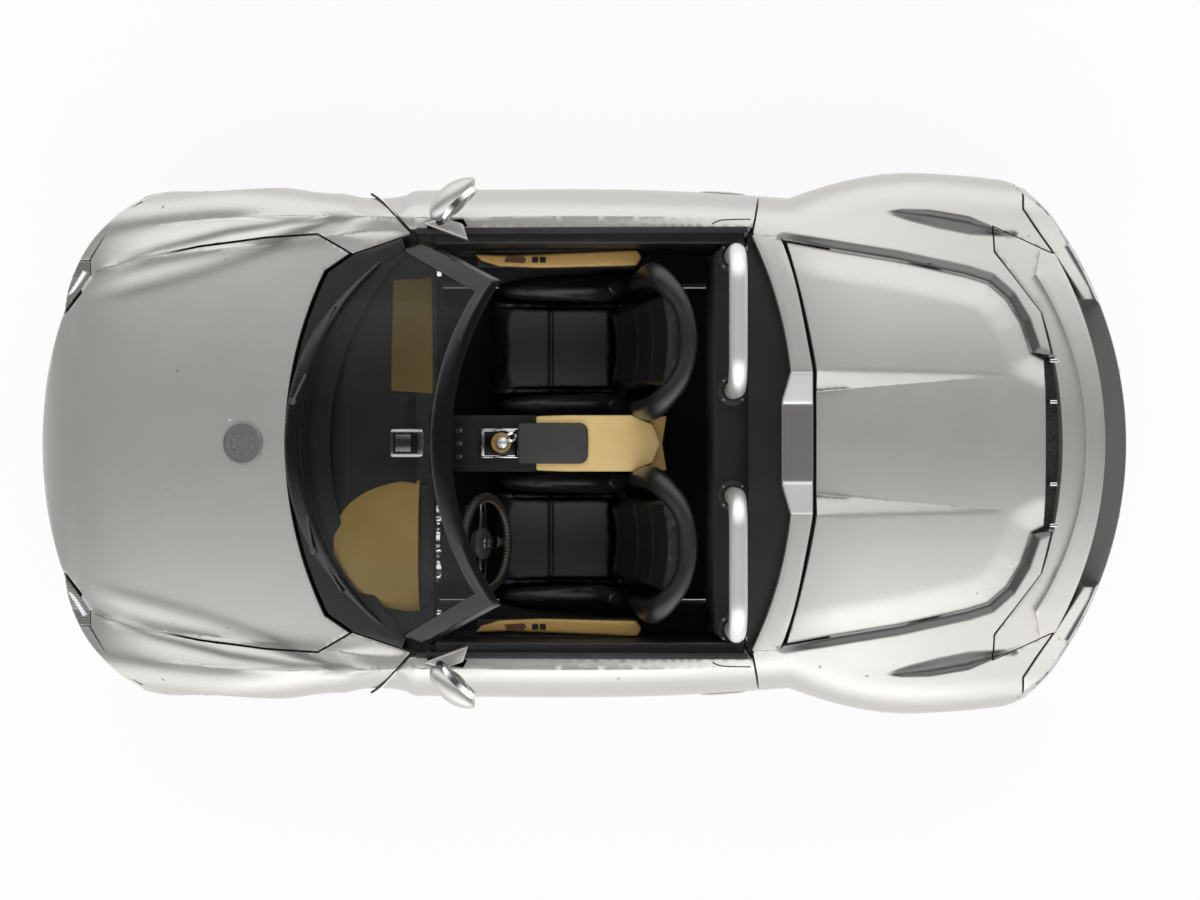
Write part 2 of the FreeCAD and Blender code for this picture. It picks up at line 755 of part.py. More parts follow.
def tyre(axle_x, track_y, tyre_width):
    half = (tyre_width - 15) / 2 - 10
    wide = tyre_width / 2
    return turned([(-half, RIM_R + 0.5), (-half, 249), (-wide + 8, 262), (-wide, 284), (-wide + 5, 305),
                   (-wide + 24, 321), (-wide + 60, TYRE_R), (wide - 60, TYRE_R), (wide - 24, 321),
                   (wide - 5, 305), (wide, 284), (wide - 8, 262), (half, 249), (half, RIM_R + 0.5)],
                  axle_x, track_y)


def knuckle(side):
    """Upright with its ball-pin bores, spindle and brake caliper."""
    y = 735.0
    pin_y = y - KINGPIN_INSET
    x = FRONT_AXLE_X
    pieces = [
        box(x - 52, x + 52, pin_y - 30, pin_y + 20, 214, 441),
        rod(SPINDLE_R, V(x, pin_y, TYRE_R), V(x, y + 48, TYRE_R)),
        box(x + 112, x + 172, y - 46, y + 42, TYRE_R - 60, TYRE_R + 60),
        box(x + 45, x + 120, y - 46, y - 22, TYRE_R - 30, TYRE_R + 30),
    ]
    whole = joined(pieces)
    whole = whole.cut(rod(DISC_R + 8, V(x, y - 18, TYRE_R), V(x, y + 18, TYRE_R)).cut(
        rod(SPINDLE_R, V(x, y - 30, TYRE_R), V(x, y + 30, TYRE_R))))
    for z0, z1 in ((200, 240), (415, 450)):
        whole = whole.cut(rod(12 + PIN_CLEARANCE, V(x, pin_y, z0), V(x, pin_y, z1)))
    return sided(whole, side)


# ------------------------------------------------------------------ all pieces


def main():
    os.makedirs("parts", exist_ok=True)
    hull = joined([loft(HULL_FRONT), loft(HULL_MIDDLE), loft(HULL_REAR)])
    body = hull.common(outer_plan())
    wells = wheel_wells()
    frame, glass = windscreen(hull)

    save("front_bumper", front_bumper(body, wells))
    save("front_grille", front_grille())
    save("headlamps", headlamps(body))
    save("bonnet", bonnet(body, hull))
    save("cowl_panel", cowl_panel(body, hull))
    save("windscreen_frame", frame)
    save("windscreen_glass", glass)
    save("cabin_tub", cabin_tub())
    save("side_sills", side_sills(body))
    save("dashboard", dashboard())
    save("steering_column", steering_column())
    save("steering_wheel", steering_wheel())
    save("centre_console", centre_console())
    save("seat_cushions", seat_cushion())
    save("seat_backs", seat_back())
    save("roll_hoops", roll_hoops())
    save("rear_bulkhead", rear_bulkhead())
    save("rear_arch", rear_arch(body, hull))
    save("rear_lid", rear_lid(body, hull))
    save("tail_panel", tail_panel(body, hull))
    save("tail_lamps", tail_lamps(body))
    save("rear_bumper", rear_bumper(body, wells))
    save("luggage_tub", luggage_tub())
    save("engine_block", engine_block())
    save("exhaust", exhaust())
    save("front_subframe", front_subframe())
    save("rear_subframe", rear_subframe())
    for name, side in SIDES:
        save("front_fender_" + name, front_fender(body, wells, side))
        save("rear_quarter_" + name, rear_quarter(body, wells, side))
        save("door_" + name, door(body, side))
        save("door_trim_" + name, door_trim(side))
        save("knuckle_" + name, knuckle(side))
        save("half_shaft_" + name, sided(half_shaft(WHEELS[-1][3]), side))
    for name, axle_x, side, track_y, tyre_width in WHEELS:
        save("rim_" + name, sided(rim(axle_x, track_y, tyre_width), side))
        save("tyre_" + name, sided(tyre(axle_x, track_y, tyre_width), side))


main()
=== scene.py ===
# %% [markdown]
# # A roadster convertible
# This notebook dresses a small open two-seat sports car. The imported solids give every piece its
# place and its motion. Here each visible piece gets a finer mesh and its finish.

# %% Load the frame
import bpy
import bmesh
import math
import numpy
from mathutils import Matrix, Vector


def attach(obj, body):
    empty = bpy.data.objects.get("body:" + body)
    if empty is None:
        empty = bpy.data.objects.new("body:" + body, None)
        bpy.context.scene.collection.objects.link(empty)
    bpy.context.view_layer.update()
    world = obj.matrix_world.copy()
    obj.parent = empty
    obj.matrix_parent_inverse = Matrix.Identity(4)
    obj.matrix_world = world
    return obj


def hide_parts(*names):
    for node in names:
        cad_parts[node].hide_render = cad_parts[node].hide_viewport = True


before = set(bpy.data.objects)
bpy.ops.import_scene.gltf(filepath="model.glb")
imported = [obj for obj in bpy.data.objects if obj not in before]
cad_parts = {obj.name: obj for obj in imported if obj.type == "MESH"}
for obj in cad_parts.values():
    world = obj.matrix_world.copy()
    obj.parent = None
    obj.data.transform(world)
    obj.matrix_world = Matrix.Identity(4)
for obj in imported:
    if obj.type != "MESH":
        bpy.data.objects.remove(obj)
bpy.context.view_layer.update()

# %% [markdown]
# ## Stage
# The car stands on a pale floor under a high camera that looks straight down, with its nose
# towards the lesser x. The floor and the light come after the helpers that they need.

# %% Camera
camera_data = bpy.data.cameras.new("camera")
camera = bpy.data.objects.new("camera", camera_data)
bpy.context.scene.collection.objects.link(camera)
camera.location = (0.054, -0.023, 7.5)
camera_data.lens = 60.24
camera_data.sensor_width = 36.0
bpy.context.scene.camera = camera
bpy.context.scene.view_settings.view_transform = "Standard"


# %% [markdown]
# ## Selecting and finishing
# An operator works on all that is selected, so each step starts with nothing selected. A
# finished piece sits at the origin with its place in its mesh.

# %% Helpers for objects
DOUBLED = 0.00005
SIDES = ((-1, "left"), (1, "right"))


def deselect():
    """Leave edit mode and select nothing."""
    if bpy.context.mode != "OBJECT":
        bpy.ops.object.mode_set(mode="OBJECT")
    bpy.ops.object.select_all(action="DESELECT")


def activate(*objects):
    """Select only these objects, the first one active."""
    deselect()
    for obj in objects:
        obj.select_set(True)
    bpy.context.view_layer.objects.active = objects[0]


def apply_place(obj):
    """Move an object's place, turn and size into its mesh."""
    activate(obj)
    bpy.ops.object.transform_apply(location=True, rotation=True, scale=True)


def modify(obj, kind, **settings):
    """Add one modifier and apply it."""
    activate(obj)
    modifier = obj.modifiers.new(kind.lower(), kind)
    for key, value in settings.items():
        setattr(modifier, key, value)
    bpy.ops.object.modifier_apply(modifier=modifier.name)


def smooth(obj, degrees=32):
    """Shade smooth, except over edges sharper than this angle."""
    activate(obj)
    bpy.ops.object.shade_smooth_by_angle(angle=math.radians(degrees))


def outward(obj, merge=True):
    """Turn every face outwards, with doubled points merged first."""
    activate(obj)
    bpy.ops.object.mode_set(mode="EDIT")
    bpy.ops.mesh.select_all(action="SELECT")
    if merge:
        bpy.ops.mesh.remove_doubles(threshold=DOUBLED)
    bpy.ops.mesh.normals_make_consistent(inside=False)
    bpy.ops.object.mode_set(mode="OBJECT")


def join(name, parts):
    """One object from several; the first gives the place."""
    activate(*parts)
    if len(parts) > 1:
        bpy.ops.object.join()
    whole = bpy.context.view_layer.objects.active
    whole.name = name
    return whole


def copy_of(obj, name):
    """A copy with a mesh of its own."""
    double = obj.copy()
    double.data = obj.data.copy()
    double.name = name
    bpy.context.scene.collection.objects.link(double)
    return double


def mirrored(obj, name):
    """The other side's piece, mirrored over the car's middle, with its faces outwards."""
    twin = copy_of(obj, name)
    twin.scale = (1, -1, 1)
    apply_place(twin)
    outward(twin, merge=False)
    return twin


def coat(obj, material):
    """Give an object one material, in place of any it has."""
    obj.data.materials.clear()
    obj.data.materials.append(material)


def finish(obj, material, body="chassis", nodes=()):
    """Give a piece its finish, its body and the solids it stands for."""
    coat(obj, material)
    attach(obj, body)
    if nodes:
        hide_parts(*nodes)
    return obj


def new_piece(name, shape):
    """An object from a net, which is freed."""
    mesh = bpy.data.meshes.new(name)
    shape.to_mesh(mesh)
    shape.free()
    obj = bpy.data.objects.new(name, mesh)
    bpy.context.scene.collection.objects.link(obj)
    return obj


def sheet(name, rows, thickness, offset=-1, flip=False, merge=0.0):
    """A sheet through rows of points, with a thickness. Flip turns its first side over."""
    shape = bmesh.new()
    net = [[shape.verts.new(place) for place in row] for row in rows]
    for a, b in zip(net, net[1:]):
        for i in range(len(a) - 1):
            corners = (a[i], b[i], b[i + 1], a[i + 1])
            shape.faces.new((a[i], a[i + 1], b[i + 1], b[i]) if flip else corners)
    if merge:
        bmesh.ops.remove_doubles(shape, verts=shape.verts, dist=merge)
    obj = new_piece(name, shape)
    modify(obj, "SOLIDIFY", thickness=thickness, offset=offset)
    outward(obj)
    return obj


def block(name, low, high, bevel=0.0, segments=2, cuts=0):
    """A box between two corners with rounded edges, ready for more shaping."""
    deselect()
    centre = [(a + b) / 2 for a, b in zip(low, high)]
    size = [b - a for a, b in zip(low, high)]
    bpy.ops.mesh.primitive_cube_add(size=1, location=centre)
    obj = bpy.context.active_object
    obj.name = name
    obj.scale = size
    apply_place(obj)
    if cuts:
        bpy.ops.object.mode_set(mode="EDIT")
        bpy.ops.mesh.select_all(action="SELECT")
        bpy.ops.mesh.subdivide(number_cuts=cuts)
        bpy.ops.object.mode_set(mode="OBJECT")
    if bevel:
        modify(obj, "BEVEL", width=bevel, segments=segments, limit_method="ANGLE")
    smooth(obj)
    return obj


def between(obj, start, end):
    """Turn and stretch a unit upright piece so that it runs from start to end."""
    start, end = Vector(start), Vector(end)
    axis = end - start
    obj.rotation_mode = "QUATERNION"
    obj.rotation_quaternion = axis.to_track_quat("Z", "Y")
    obj.location = (start + end) / 2
    obj.scale = (1, 1, axis.length)
    apply_place(obj)
    return obj


def rod(name, start, end, radius, end_radius=None, sides=32, bevel=0.0):
    """A round bar, or a taper, with its edges rounded if asked."""
    deselect()
    top = radius if end_radius is None else end_radius
    bpy.ops.mesh.primitive_cone_add(vertices=sides, radius1=radius, radius2=top, depth=1)
    obj = bpy.context.active_object
    obj.name = name
    between(obj, start, end)
    if bevel:
        modify(obj, "BEVEL", width=bevel, segments=2, limit_method="ANGLE", angle_limit=1.0)
    smooth(obj, 40)
    return obj


def tube(name, points, radius, resolution=8):
    """A round bar along a smooth line, as a mesh."""
    curve = bpy.data.curves.new(name, "CURVE")
    curve.dimensions = "3D"
    curve.bevel_depth = radius
    curve.bevel_resolution = resolution
    curve.use_fill_caps = True
    curve.resolution_u = 10
    spline = curve.splines.new("NURBS")
    spline.points.add(len(points) - 1)
    for point, place in zip(spline.points, points):
        point.co = (*place, 1)
    spline.order_u = 3
    spline.use_endpoint_u = True
    obj = bpy.data.objects.new(name, curve)
    bpy.context.scene.collection.objects.link(obj)
    activate(obj)
    bpy.ops.object.convert(target="MESH")
    obj = bpy.context.active_object
    smooth(obj, 50)
    return obj


def turned(name, profile, centre, axis="Y", sides=64):
    """Spin a closed (along, radius) profile about an axis through the centre."""
    shape = bmesh.new()
    ring = [shape.verts.new((0, distance, radius)) for distance, radius in profile]
    for index, vert in enumerate(ring):
        shape.edges.new((vert, ring[(index + 1) % len(ring)]))
    obj = new_piece(name, shape)
    activate(obj)
    bpy.ops.object.mode_set(mode="EDIT")
    bpy.ops.mesh.select_all(action="SELECT")
    bpy.ops.mesh.spin(steps=sides, angle=2 * math.pi, center=(0, 0, 0), axis=(0, 1, 0))
    outward(obj)
    if axis == "Z":
        obj.rotation_euler = (math.pi / 2, 0, 0)
    if axis == "X":
        obj.rotation_euler = (0, 0, -math.pi / 2)
    obj.location = centre
    apply_place(obj)
    smooth(obj, 35)
    return obj


def extruded(name, outline, low, high, bevel=0.0, segments=2):
    """An outline in plan drawn out between two heights, edges rounded."""
    shape = bmesh.new()
    face = shape.faces.new([shape.verts.new((x, y, low)) for x, y in outline])
    grown = bmesh.ops.extrude_face_region(shape, geom=[face])["geom"]
    raised = [item for item in grown if isinstance(item, bmesh.types.BMVert)]
    bmesh.ops.translate(shape, verts=raised, vec=(0, 0, high - low))
    bmesh.ops.recalc_face_normals(shape, faces=shape.faces)
    obj = new_piece(name, shape)
    if bevel:
        modify(obj, "BEVEL", width=bevel, segments=segments, limit_method="ANGLE")
    smooth(obj)
    return obj


# %% [markdown]
# ## Writing finishes as sums
# A shader graph is easier to read as a sum. This class wraps one socket, and its operators add
# the Math nodes, so a pattern such as `grain * 0.2 + 0.5` is written as it is thought.

# %% Sockets that take part in sums
class Wire:
    """One output socket, which can be added to, multiplied and compared."""

    def __init__(self, owner, socket):
        self.owner = owner
        self.socket = socket

    def __add__(self, other):
        return self.owner.math("ADD", self, other)

    def __mul__(self, other):
        return self.owner.math("MULTIPLY", self, other)

    def __lt__(self, other):
        return self.owner.math("LESS_THAN", self, other)


class Finish:
    """The node tree of one material, built from named nodes and sums."""

    def __init__(self, name, **surface):
        self.material = bpy.data.materials.new(name)
        self.material.use_nodes = True
        self.tree = self.material.node_tree
        self.tree.nodes.clear()
        self.bsdf = self.tree.nodes.new("ShaderNodeBsdfPrincipled")
        self.output = self.tree.nodes.new("ShaderNodeOutputMaterial")
        self.tree.links.new(self.bsdf.outputs[0], self.output.inputs[0])
        for key, value in surface.items():
            self.set(key.replace("_", " ").title().replace("Ior", "IOR"), value)

    def set(self, socket, value):
        """Set a socket of the surface, by a number, a colour or a wire."""
        self.feed(self.bsdf.inputs[socket], value)

    def feed(self, socket, value):
        if isinstance(value, Wire):
            self.tree.links.new(value.socket, socket)
        elif isinstance(value, (tuple, list)) and len(value) == 3 and socket.type == "RGBA":
            socket.default_value = (*value, 1)
        else:
            socket.default_value = value

    def node(self, kind, settings=None, sockets=None, out=0):
        """Any node: its settings first, then its sockets."""
        made = self.tree.nodes.new("ShaderNode" + kind)
        for key, value in (settings or {}).items():
            if key == "stops":
                ramp = made.color_ramp.elements
                while len(ramp) > 1:
                    ramp.remove(ramp[-1])
                for index, (place, colour) in enumerate(value):
                    stop = ramp[0] if index == 0 else ramp.new(place)
                    stop.position = place
                    stop.color = (*colour, 1) if len(colour) == 3 else colour
            else:
                setattr(made, key, value)
        for key, value in (sockets or {}).items():
            self.feed(made.inputs[key], value)
        return Wire(self, made.outputs[out])

    def math(self, operation, *values):
        made = self.tree.nodes.new("ShaderNodeMath")
        made.operation = operation
        for socket, value in zip(made.inputs, values):
            self.feed(socket, value)
        return Wire(self, made.outputs[0])

    def mix(self, factor, first, second):
        """A colour between two colours."""
        return self.node("Mix", {"data_type": "RGBA"}, {0: factor, 6: first, 7: second}, out=2)

    def place(self, scale=(1, 1, 1)):
        """Object coordinates, stretched."""
        start = self.node("TexCoord", out=3)
        return self.node("Mapping", None, {0: start, 3: scale})

    def noise(self, scale, detail=3.0, rough=0.5, vector=None):
        sockets = {"Scale": scale, "Detail": detail, "Roughness": rough,
                   "Vector": vector or self.place()}
        return self.node("TexNoise", None, sockets)

    def cells(self, scale, feature="F1", out=0):
        sockets = {"Scale": scale, "Vector": self.place()}
        return self.node("TexVoronoi", {"feature": feature}, sockets, out=out)

    def ramp(self, value, *stops):
        return self.node("ValToRGB", {"stops": stops}, {0: value})

    def bump(self, height, strength=0.2, distance=0.001):
        """Feed a height to the surface's normal."""
        wire = self.node("Bump", None,
                         {"Height": height, "Strength": strength, "Distance": distance})
        self.set("Normal", wire)
        return self


# %% [markdown]
# ## Light and floor
# The floor is near white. The studio is brightest to both sides and darker overhead and ahead, so
# the flanks mirror light and the middle of the bonnet stays grey. One weak lamp adds soft shadows.

# %% Floor and lamps
# Columns: sideways part of the direction, level there
SIDE_LIGHT = [(-0.46, 1.0), (-0.34, 0.70), (-0.22, 0.34), (-0.10, 0.055), (0.16, 0.055),
              (0.30, 0.26),
              (0.41, 0.60), (0.55, 1.0)]
SIDE_STRENGTH = 1.60
world = bpy.data.worlds.new("studio")
bpy.context.scene.world = world
world.use_nodes = True
sky = world.node_tree
sky.nodes.clear()
coordinates = sky.nodes.new("ShaderNodeTexCoord")
split = sky.nodes.new("ShaderNodeSeparateXYZ")
gradient = sky.nodes.new("ShaderNodeValToRGB")
background = sky.nodes.new("ShaderNodeBackground")
world_output = sky.nodes.new("ShaderNodeOutputWorld")
sky.links.new(coordinates.outputs["Generated"], split.inputs[0])
across = sky.nodes.new("ShaderNodeMath")
across.operation = "MULTIPLY_ADD"
across.inputs[1].default_value = 0.5
across.inputs[2].default_value = 0.5
sky.links.new(split.outputs["Y"], across.inputs[0])
sky.links.new(across.outputs[0], gradient.inputs[0])
sky.links.new(gradient.outputs[0], background.inputs["Color"])
plain = sky.nodes.new("ShaderNodeBackground")
plain.inputs["Color"].default_value = (1, 1, 1, 1)
direct = sky.nodes.new("ShaderNodeLightPath")
blend = sky.nodes.new("ShaderNodeMixShader")
sky.links.new(direct.outputs["Is Camera Ray"], blend.inputs[0])
sky.links.new(background.outputs[0], blend.inputs[1])
sky.links.new(plain.outputs[0], blend.inputs[2])
sky.links.new(blend.outputs[0], world_output.inputs[0])
stops = gradient.color_ramp.elements
for stop in stops:
    stop.color = (1.0, 1.0, 1.0, 1)
for sideways, level in SIDE_LIGHT:
    stop = stops.new(sideways * 0.5 + 0.5)
    stop.color = (level, level, level, 1)
background.inputs["Strength"].default_value = SIDE_STRENGTH


def lamp(name, place, target, size, power):
    """A soft lamp of a width and a height, aimed at a target."""
    data = bpy.data.lights.new(name, "AREA")
    data.shape = "RECTANGLE"
    data.size, data.size_y = size
    data.energy = power
    obj = bpy.data.objects.new(name, data)
    bpy.context.scene.collection.objects.link(obj)
    obj.location = place
    aim = Vector(target) - Vector(place)
    obj.rotation_euler = aim.to_track_quat("-Z", "Y").to_euler()


lamp("side_lamp", (0.2, -6.0, 4.2), (0.0, -0.3, 0.6), (7.0, 2.6), 60)

deselect()
bpy.ops.mesh.primitive_grid_add(x_subdivisions=4, y_subdivisions=4, size=120)
floor = bpy.context.active_object
floor.name = "studio_floor"


# %% [markdown]
# ## Finishes
# Each finish has the grain of the real one: flake in the paint, pores in the leather, fibre in
# the carpet, brushing and casting texture in the metal.

# %% Materials
def floor_finish():
    """Matt white, and plain white where the camera looks straight at it."""
    made = Finish("studio_white", roughness=0.8)
    shade = made.ramp(made.noise(0.6), (0.3, (0.86, 0.86, 0.86)), (0.7, (0.88, 0.88, 0.88)))
    made.set("Base Color", shade)
    made.bump(made.noise(14.0), 0.02, 0.002)
    glow = made.node("Emission", None, {"Color": (1, 1, 1), "Strength": 1.0})
    seen = made.node("LightPath", out=0)
    mirrored_ray = made.node("LightPath", out="Is Glossy Ray")
    through_ray = made.node("LightPath", out="Is Transmission Ray")
    surface = Wire(made, made.bsdf.outputs[0])
    share = made.math("MAXIMUM", made.math("MAXIMUM", seen, mirrored_ray), through_ray) * 0.90
    mixed = made.node("MixShader", None, {0: share, 1: surface, 2: glow})
    made.tree.links.new(mixed.socket, made.output.inputs[0])
    return made.material


def paint(name="paint_silver", dark=(0.48, 0.47, 0.447), light=(0.62, 0.605, 0.577)):
    """Satin silver: a fine flake under a thin clear coat, with painted shade in the hollows."""
    made = Finish(name, metallic=0.78, coat_roughness=0.12, coat_weight=0.25)
    flake = made.cells(1900.0, out=1)
    grey = made.node("SeparateColor", None, {0: flake})
    tone = made.ramp(grey, (0.0, dark), (1.0, light))
    cloud = made.noise(2.2, 2.0)
    # Painted shade: where the hollow attribute is set, the base colour goes towards a dark grey.
    hollow = made.node("Attribute", {"attribute_name": "hollow"}, out=2)
    clean = made.mix(cloud * 0.14, tone, (0.66, 0.645, 0.615))
    made.set("Base Color", made.mix(hollow * 0.88, clean, (0.060, 0.060, 0.057)))
    made.set("Roughness", made.noise(9.0) * 0.06 + grey * 0.05 + 0.34)
    made.bump(made.noise(1300.0, 1.0), 0.03, 0.0003)
    return made.material


def moulded(name, colour, lighter, grain=700.0, roughness=0.55):
    """Grained plastic, a touch lighter on its raised grain."""
    made = Finish(name)
    pebble = made.cells(grain)
    made.set("Base Color", made.ramp(pebble, (0.1, colour), (0.8, lighter)))
    made.set("Roughness", made.noise(30.0) * 0.12 + roughness)
    return made.bump(pebble, 0.3, 0.0003).material


def leather(name, dark, light, wrinkle=0.35, roughness=0.42, coat=0.12):
    """Hide: small pores, long soft wrinkles and slow changes of tone."""
    made = Finish(name, coat_weight=coat, coat_roughness=0.30)
    pores = made.cells(430.0, "DISTANCE_TO_EDGE")
    creases = made.noise(16.0, 6.0, 0.6)
    cloud = made.noise(5.0, 2.0)
    tone = made.ramp(cloud * 0.6 + creases * 0.4, (0.3, dark), (0.7, light))
    made.set("Base Color", made.mix(made.math("MULTIPLY", pores < 0.04, 0.5), tone,
                                    tuple(c * 0.55 for c in dark)))
    made.set("Roughness", creases * 0.16 + roughness)
    edge = made.math("MINIMUM", pores, 0.12)
    return made.bump(edge * 2.2 + creases * wrinkle, 0.35, 0.0008).material


def suede():
    made = Finish("carpet_black", roughness=0.95, sheen_weight=0.10)
    fibre = made.noise(900.0, 2.0, 0.7, made.place((1, 1, 0.4)))
    cloud = made.noise(7.0)
    made.set("Base Color", made.ramp(fibre * 0.7 + cloud * 0.3, (0.3, (0.008, 0.008, 0.009)),
                                     (0.75, (0.022, 0.022, 0.023))))
    return made.bump(fibre, 0.6, 0.002).material


def brushed(name, dark, light, roughness, stretch=(1, 40, 40), scale=60.0, metallic=1.0):
    """Metal with fine lines along one direction."""
    made = Finish(name, metallic=metallic)
    lines = made.noise(scale, 4.0, 0.6, made.place(stretch))
    made.set("Base Color", made.ramp(lines, (0.3, dark), (0.7, light)))
    made.set("Roughness", lines * 0.10 + roughness)
    return made.bump(lines, 0.06, 0.0003).material


def cast(name, dark, light, metallic=0.8):
    made = Finish(name, metallic=metallic)
    grit = made.noise(260.0, 4.0, 0.7)
    stain = made.noise(6.0, 4.0)
    made.set("Base Color", made.ramp(grit * 0.4 + stain * 0.6, (0.3, dark), (0.7, light)))
    made.set("Roughness", stain * 0.3 + 0.4)
    return made.bump(grit, 0.4, 0.0008).material


def rubber():
    made = Finish("tyre_black")
    dust = made.noise(7.0, 5.0)
    grit = made.noise(420.0, 2.0)
    made.set("Base Color", made.ramp(dust * 0.7 + grit * 0.3, (0.3, (0.010, 0.010, 0.010)),
                                     (0.75, (0.035, 0.034, 0.033))))
    made.set("Roughness", dust * 0.2 + 0.68)
    return made.bump(grit, 0.25, 0.0005).material


def screen():
    """Windscreen: you look through it, and it mirrors a little of the studio."""
    made = Finish("screen_clear", roughness=0.02, specular_ior_level=0.30)
    haze = made.noise(2.0, 3.0)
    made.set("Base Color", (0.010, 0.012, 0.010))
    made.set("Alpha", haze * 0.06 + 0.22)
    made.set("Roughness", haze * 0.02 + 0.01)
    return made.material


def lens(name, tint, metallic=0.0, capped=False):
    """Lamp cover: ribs under a clear coat, with a painted cap where the piece is marked."""
    made = Finish(name, coat_weight=0.2 if capped else 1.0, coat_roughness=0.03,
                  specular_ior_level=0.4)
    ribs = made.node("TexWave", {"wave_type": "BANDS", "bands_direction": "Y"},
                     {"Scale": 34.0, "Distortion": 0.4, "Vector": made.place()})
    glass = made.mix(ribs * 0.5, tint, tuple(min(1, c * 1.9) for c in tint))
    if not capped:
        made.set("Base Color", glass)
        made.set("Roughness", ribs * 0.15 + 0.12)
        made.set("Metallic", metallic)
        return made.bump(ribs, 0.25, 0.001).material
    cap = made.node("Attribute", {"attribute_name": "cap"}, out=2)
    made.set("Base Color", made.mix(cap, glass, (0.58, 0.57, 0.54)))
    made.set("Roughness", cap * 0.20 + ribs * 0.10 + 0.12)
    made.set("Metallic", cap * 0.78)
    return made.material


def mesh_cloth(name, colour):
    """A perforated black sheet or net, as a pattern of holes."""
    made = Finish(name, roughness=0.6)
    holes = made.cells(95.0)
    made.set("Base Color", made.ramp(holes, (0.25, (0.004, 0.004, 0.004)), (0.45, colour)))
    return made.bump(holes, 0.6, 0.002).material


SILVER = paint()
# Painted highlight: a lighter copy of the silver paint, for the arch's facets.
SILVER_PAINTED_HIGHLIGHT = paint("paint_bright", (0.78, 0.78, 0.77), (0.90, 0.90, 0.89))
BLACK = moulded("plastic_black", (0.008, 0.008, 0.008), (0.020, 0.020, 0.020))
TRIM_BLACK = moulded("trim_black", (0.004, 0.004, 0.004), (0.010, 0.010, 0.010), 900.0, 0.32)
DARK_GREY = moulded("plastic_grey", (0.035, 0.036, 0.035), (0.060, 0.060, 0.057), 600.0, 0.45)
GLOSS_BLACK = moulded("gloss_black", (0.003, 0.003, 0.003), (0.006, 0.006, 0.006), 300.0, 0.10)
BLACK_HIDE = leather("leather_black", (0.005, 0.005, 0.005), (0.014, 0.014, 0.014))
SEAT_HIDE = leather("leather_seat", (0.004, 0.004, 0.004), (0.011, 0.011, 0.011), 0.45, 0.32, 0.32)
TAN_HIDE = leather("leather_tan", (0.97, 0.66, 0.26), (1.0, 0.75, 0.33), 0.2)
TAN_TRIM = leather("leather_trim", (0.56, 0.33, 0.09), (0.68, 0.43, 0.14), 0.25)
HOOD_TAN = leather("leather_hood", (0.46, 0.29, 0.050), (0.56, 0.38, 0.085), 0.25)
PANEL_TAN = leather("leather_panel", (0.160, 0.103, 0.014), (0.205, 0.135, 0.024), 0.25)
CARPET = suede()
POLISHED = brushed("steel_polished", (0.74, 0.74, 0.72), (0.86, 0.86, 0.84), 0.28, metallic=0.65)
CHROME = brushed("chrome", (0.78, 0.78, 0.78), (0.9, 0.9, 0.9), 0.04, (1, 1, 1), 4.0)
DULL_STEEL = brushed("steel_dull", (0.28, 0.28, 0.27), (0.45, 0.45, 0.44), 0.38)
ALLOY = cast("alloy_wheel", (0.46, 0.46, 0.46), (0.62, 0.62, 0.62))
CASTING = cast("alloy_cast", (0.16, 0.16, 0.16), (0.32, 0.32, 0.31))
RUBBER = rubber()
SCREEN = screen()
HEADLAMP = lens("lamp_clear", (0.26, 0.255, 0.24), 0.55)
COVER_GREY = moulded("cover_grey", (0.105, 0.104, 0.098), (0.150, 0.148, 0.140), 600.0, 0.40)
# Painted shade: a dark copy of the tan leather, for the flat plate that stands for the door pull
# recess.
RECESS_SHADE_TAN = leather("recess_tan", (0.10, 0.045, 0.012), (0.16, 0.08, 0.03))
TAIL_LENS = lens("lamp_tail", (0.035, 0.035, 0.038), capped=True)
AMBER = lens("lamp_amber", (0.55, 0.16, 0.02))
LAMP_BAR = lens("lamp_bar", (0.80, 0.82, 0.84), 0.1)
MIRROR_GLASS = brushed("mirror_glass", (0.55, 0.57, 0.58), (0.62, 0.64, 0.65), 0.02, (1, 1, 1), 3.0)
NET = mesh_cloth("grille_black", (0.035, 0.035, 0.036))
coat(floor, floor_finish())


# %% [markdown]
# ## Body surface
# The body is one smooth form, given by cross sections of arcs and lines along its length. Each
# painted panel is refined until its triangles are small, and its outer points are laid on that
# form, so that it mirrors the studio without facets. The creases are rounded a little.

# %% The form of the body
SILL_Z = 0.150
CREASE_PASSES = 14
SECTION_STEPS = 150
# Columns: x, z_mid, y_val, z_val, y_crest, z_crest, y_wide, z_wide, y_low
SECTIONS = [
    (-1.950, 0.440, 0.560, 0.412, 0.690, 0.395, 0.842, 0.330, 0.815),
    (-1.700, 0.612, 0.592, 0.583, 0.715, 0.598, 0.860, 0.470, 0.836),
    (-1.450, 0.682, 0.642, 0.640, 0.742, 0.688, 0.868, 0.562, 0.842),
    (-1.170, 0.737, 0.668, 0.690, 0.758, 0.750, 0.885, 0.612, 0.852),
    (-0.880, 0.786, 0.694, 0.742, 0.762, 0.770, 0.853, 0.608, 0.840),
    (-0.560, 0.846, 0.700, 0.826, 0.748, 0.840, 0.855, 0.605, 0.842),
    (-0.100, 0.882, 0.700, 0.850, 0.752, 0.858, 0.858, 0.612, 0.842),
    (0.300, 0.908, 0.690, 0.870, 0.750, 0.868, 0.850, 0.620, 0.836),
    (0.690, 0.940, 0.668, 0.888, 0.742, 0.862, 0.824, 0.640, 0.812),
    (0.860, 0.944, 0.640, 0.870, 0.768, 0.822, 0.884, 0.640, 0.850),
    (1.190, 0.922, 0.590, 0.850, 0.790, 0.794, 0.9225, 0.620, 0.880),
    (1.450, 0.894, 0.565, 0.824, 0.772, 0.768, 0.897, 0.612, 0.862),
    (1.700, 0.866, 0.540, 0.800, 0.735, 0.738, 0.880, 0.600, 0.850),
    (1.950, 0.835, 0.520, 0.775, 0.700, 0.705, 0.860, 0.590, 0.840),
]
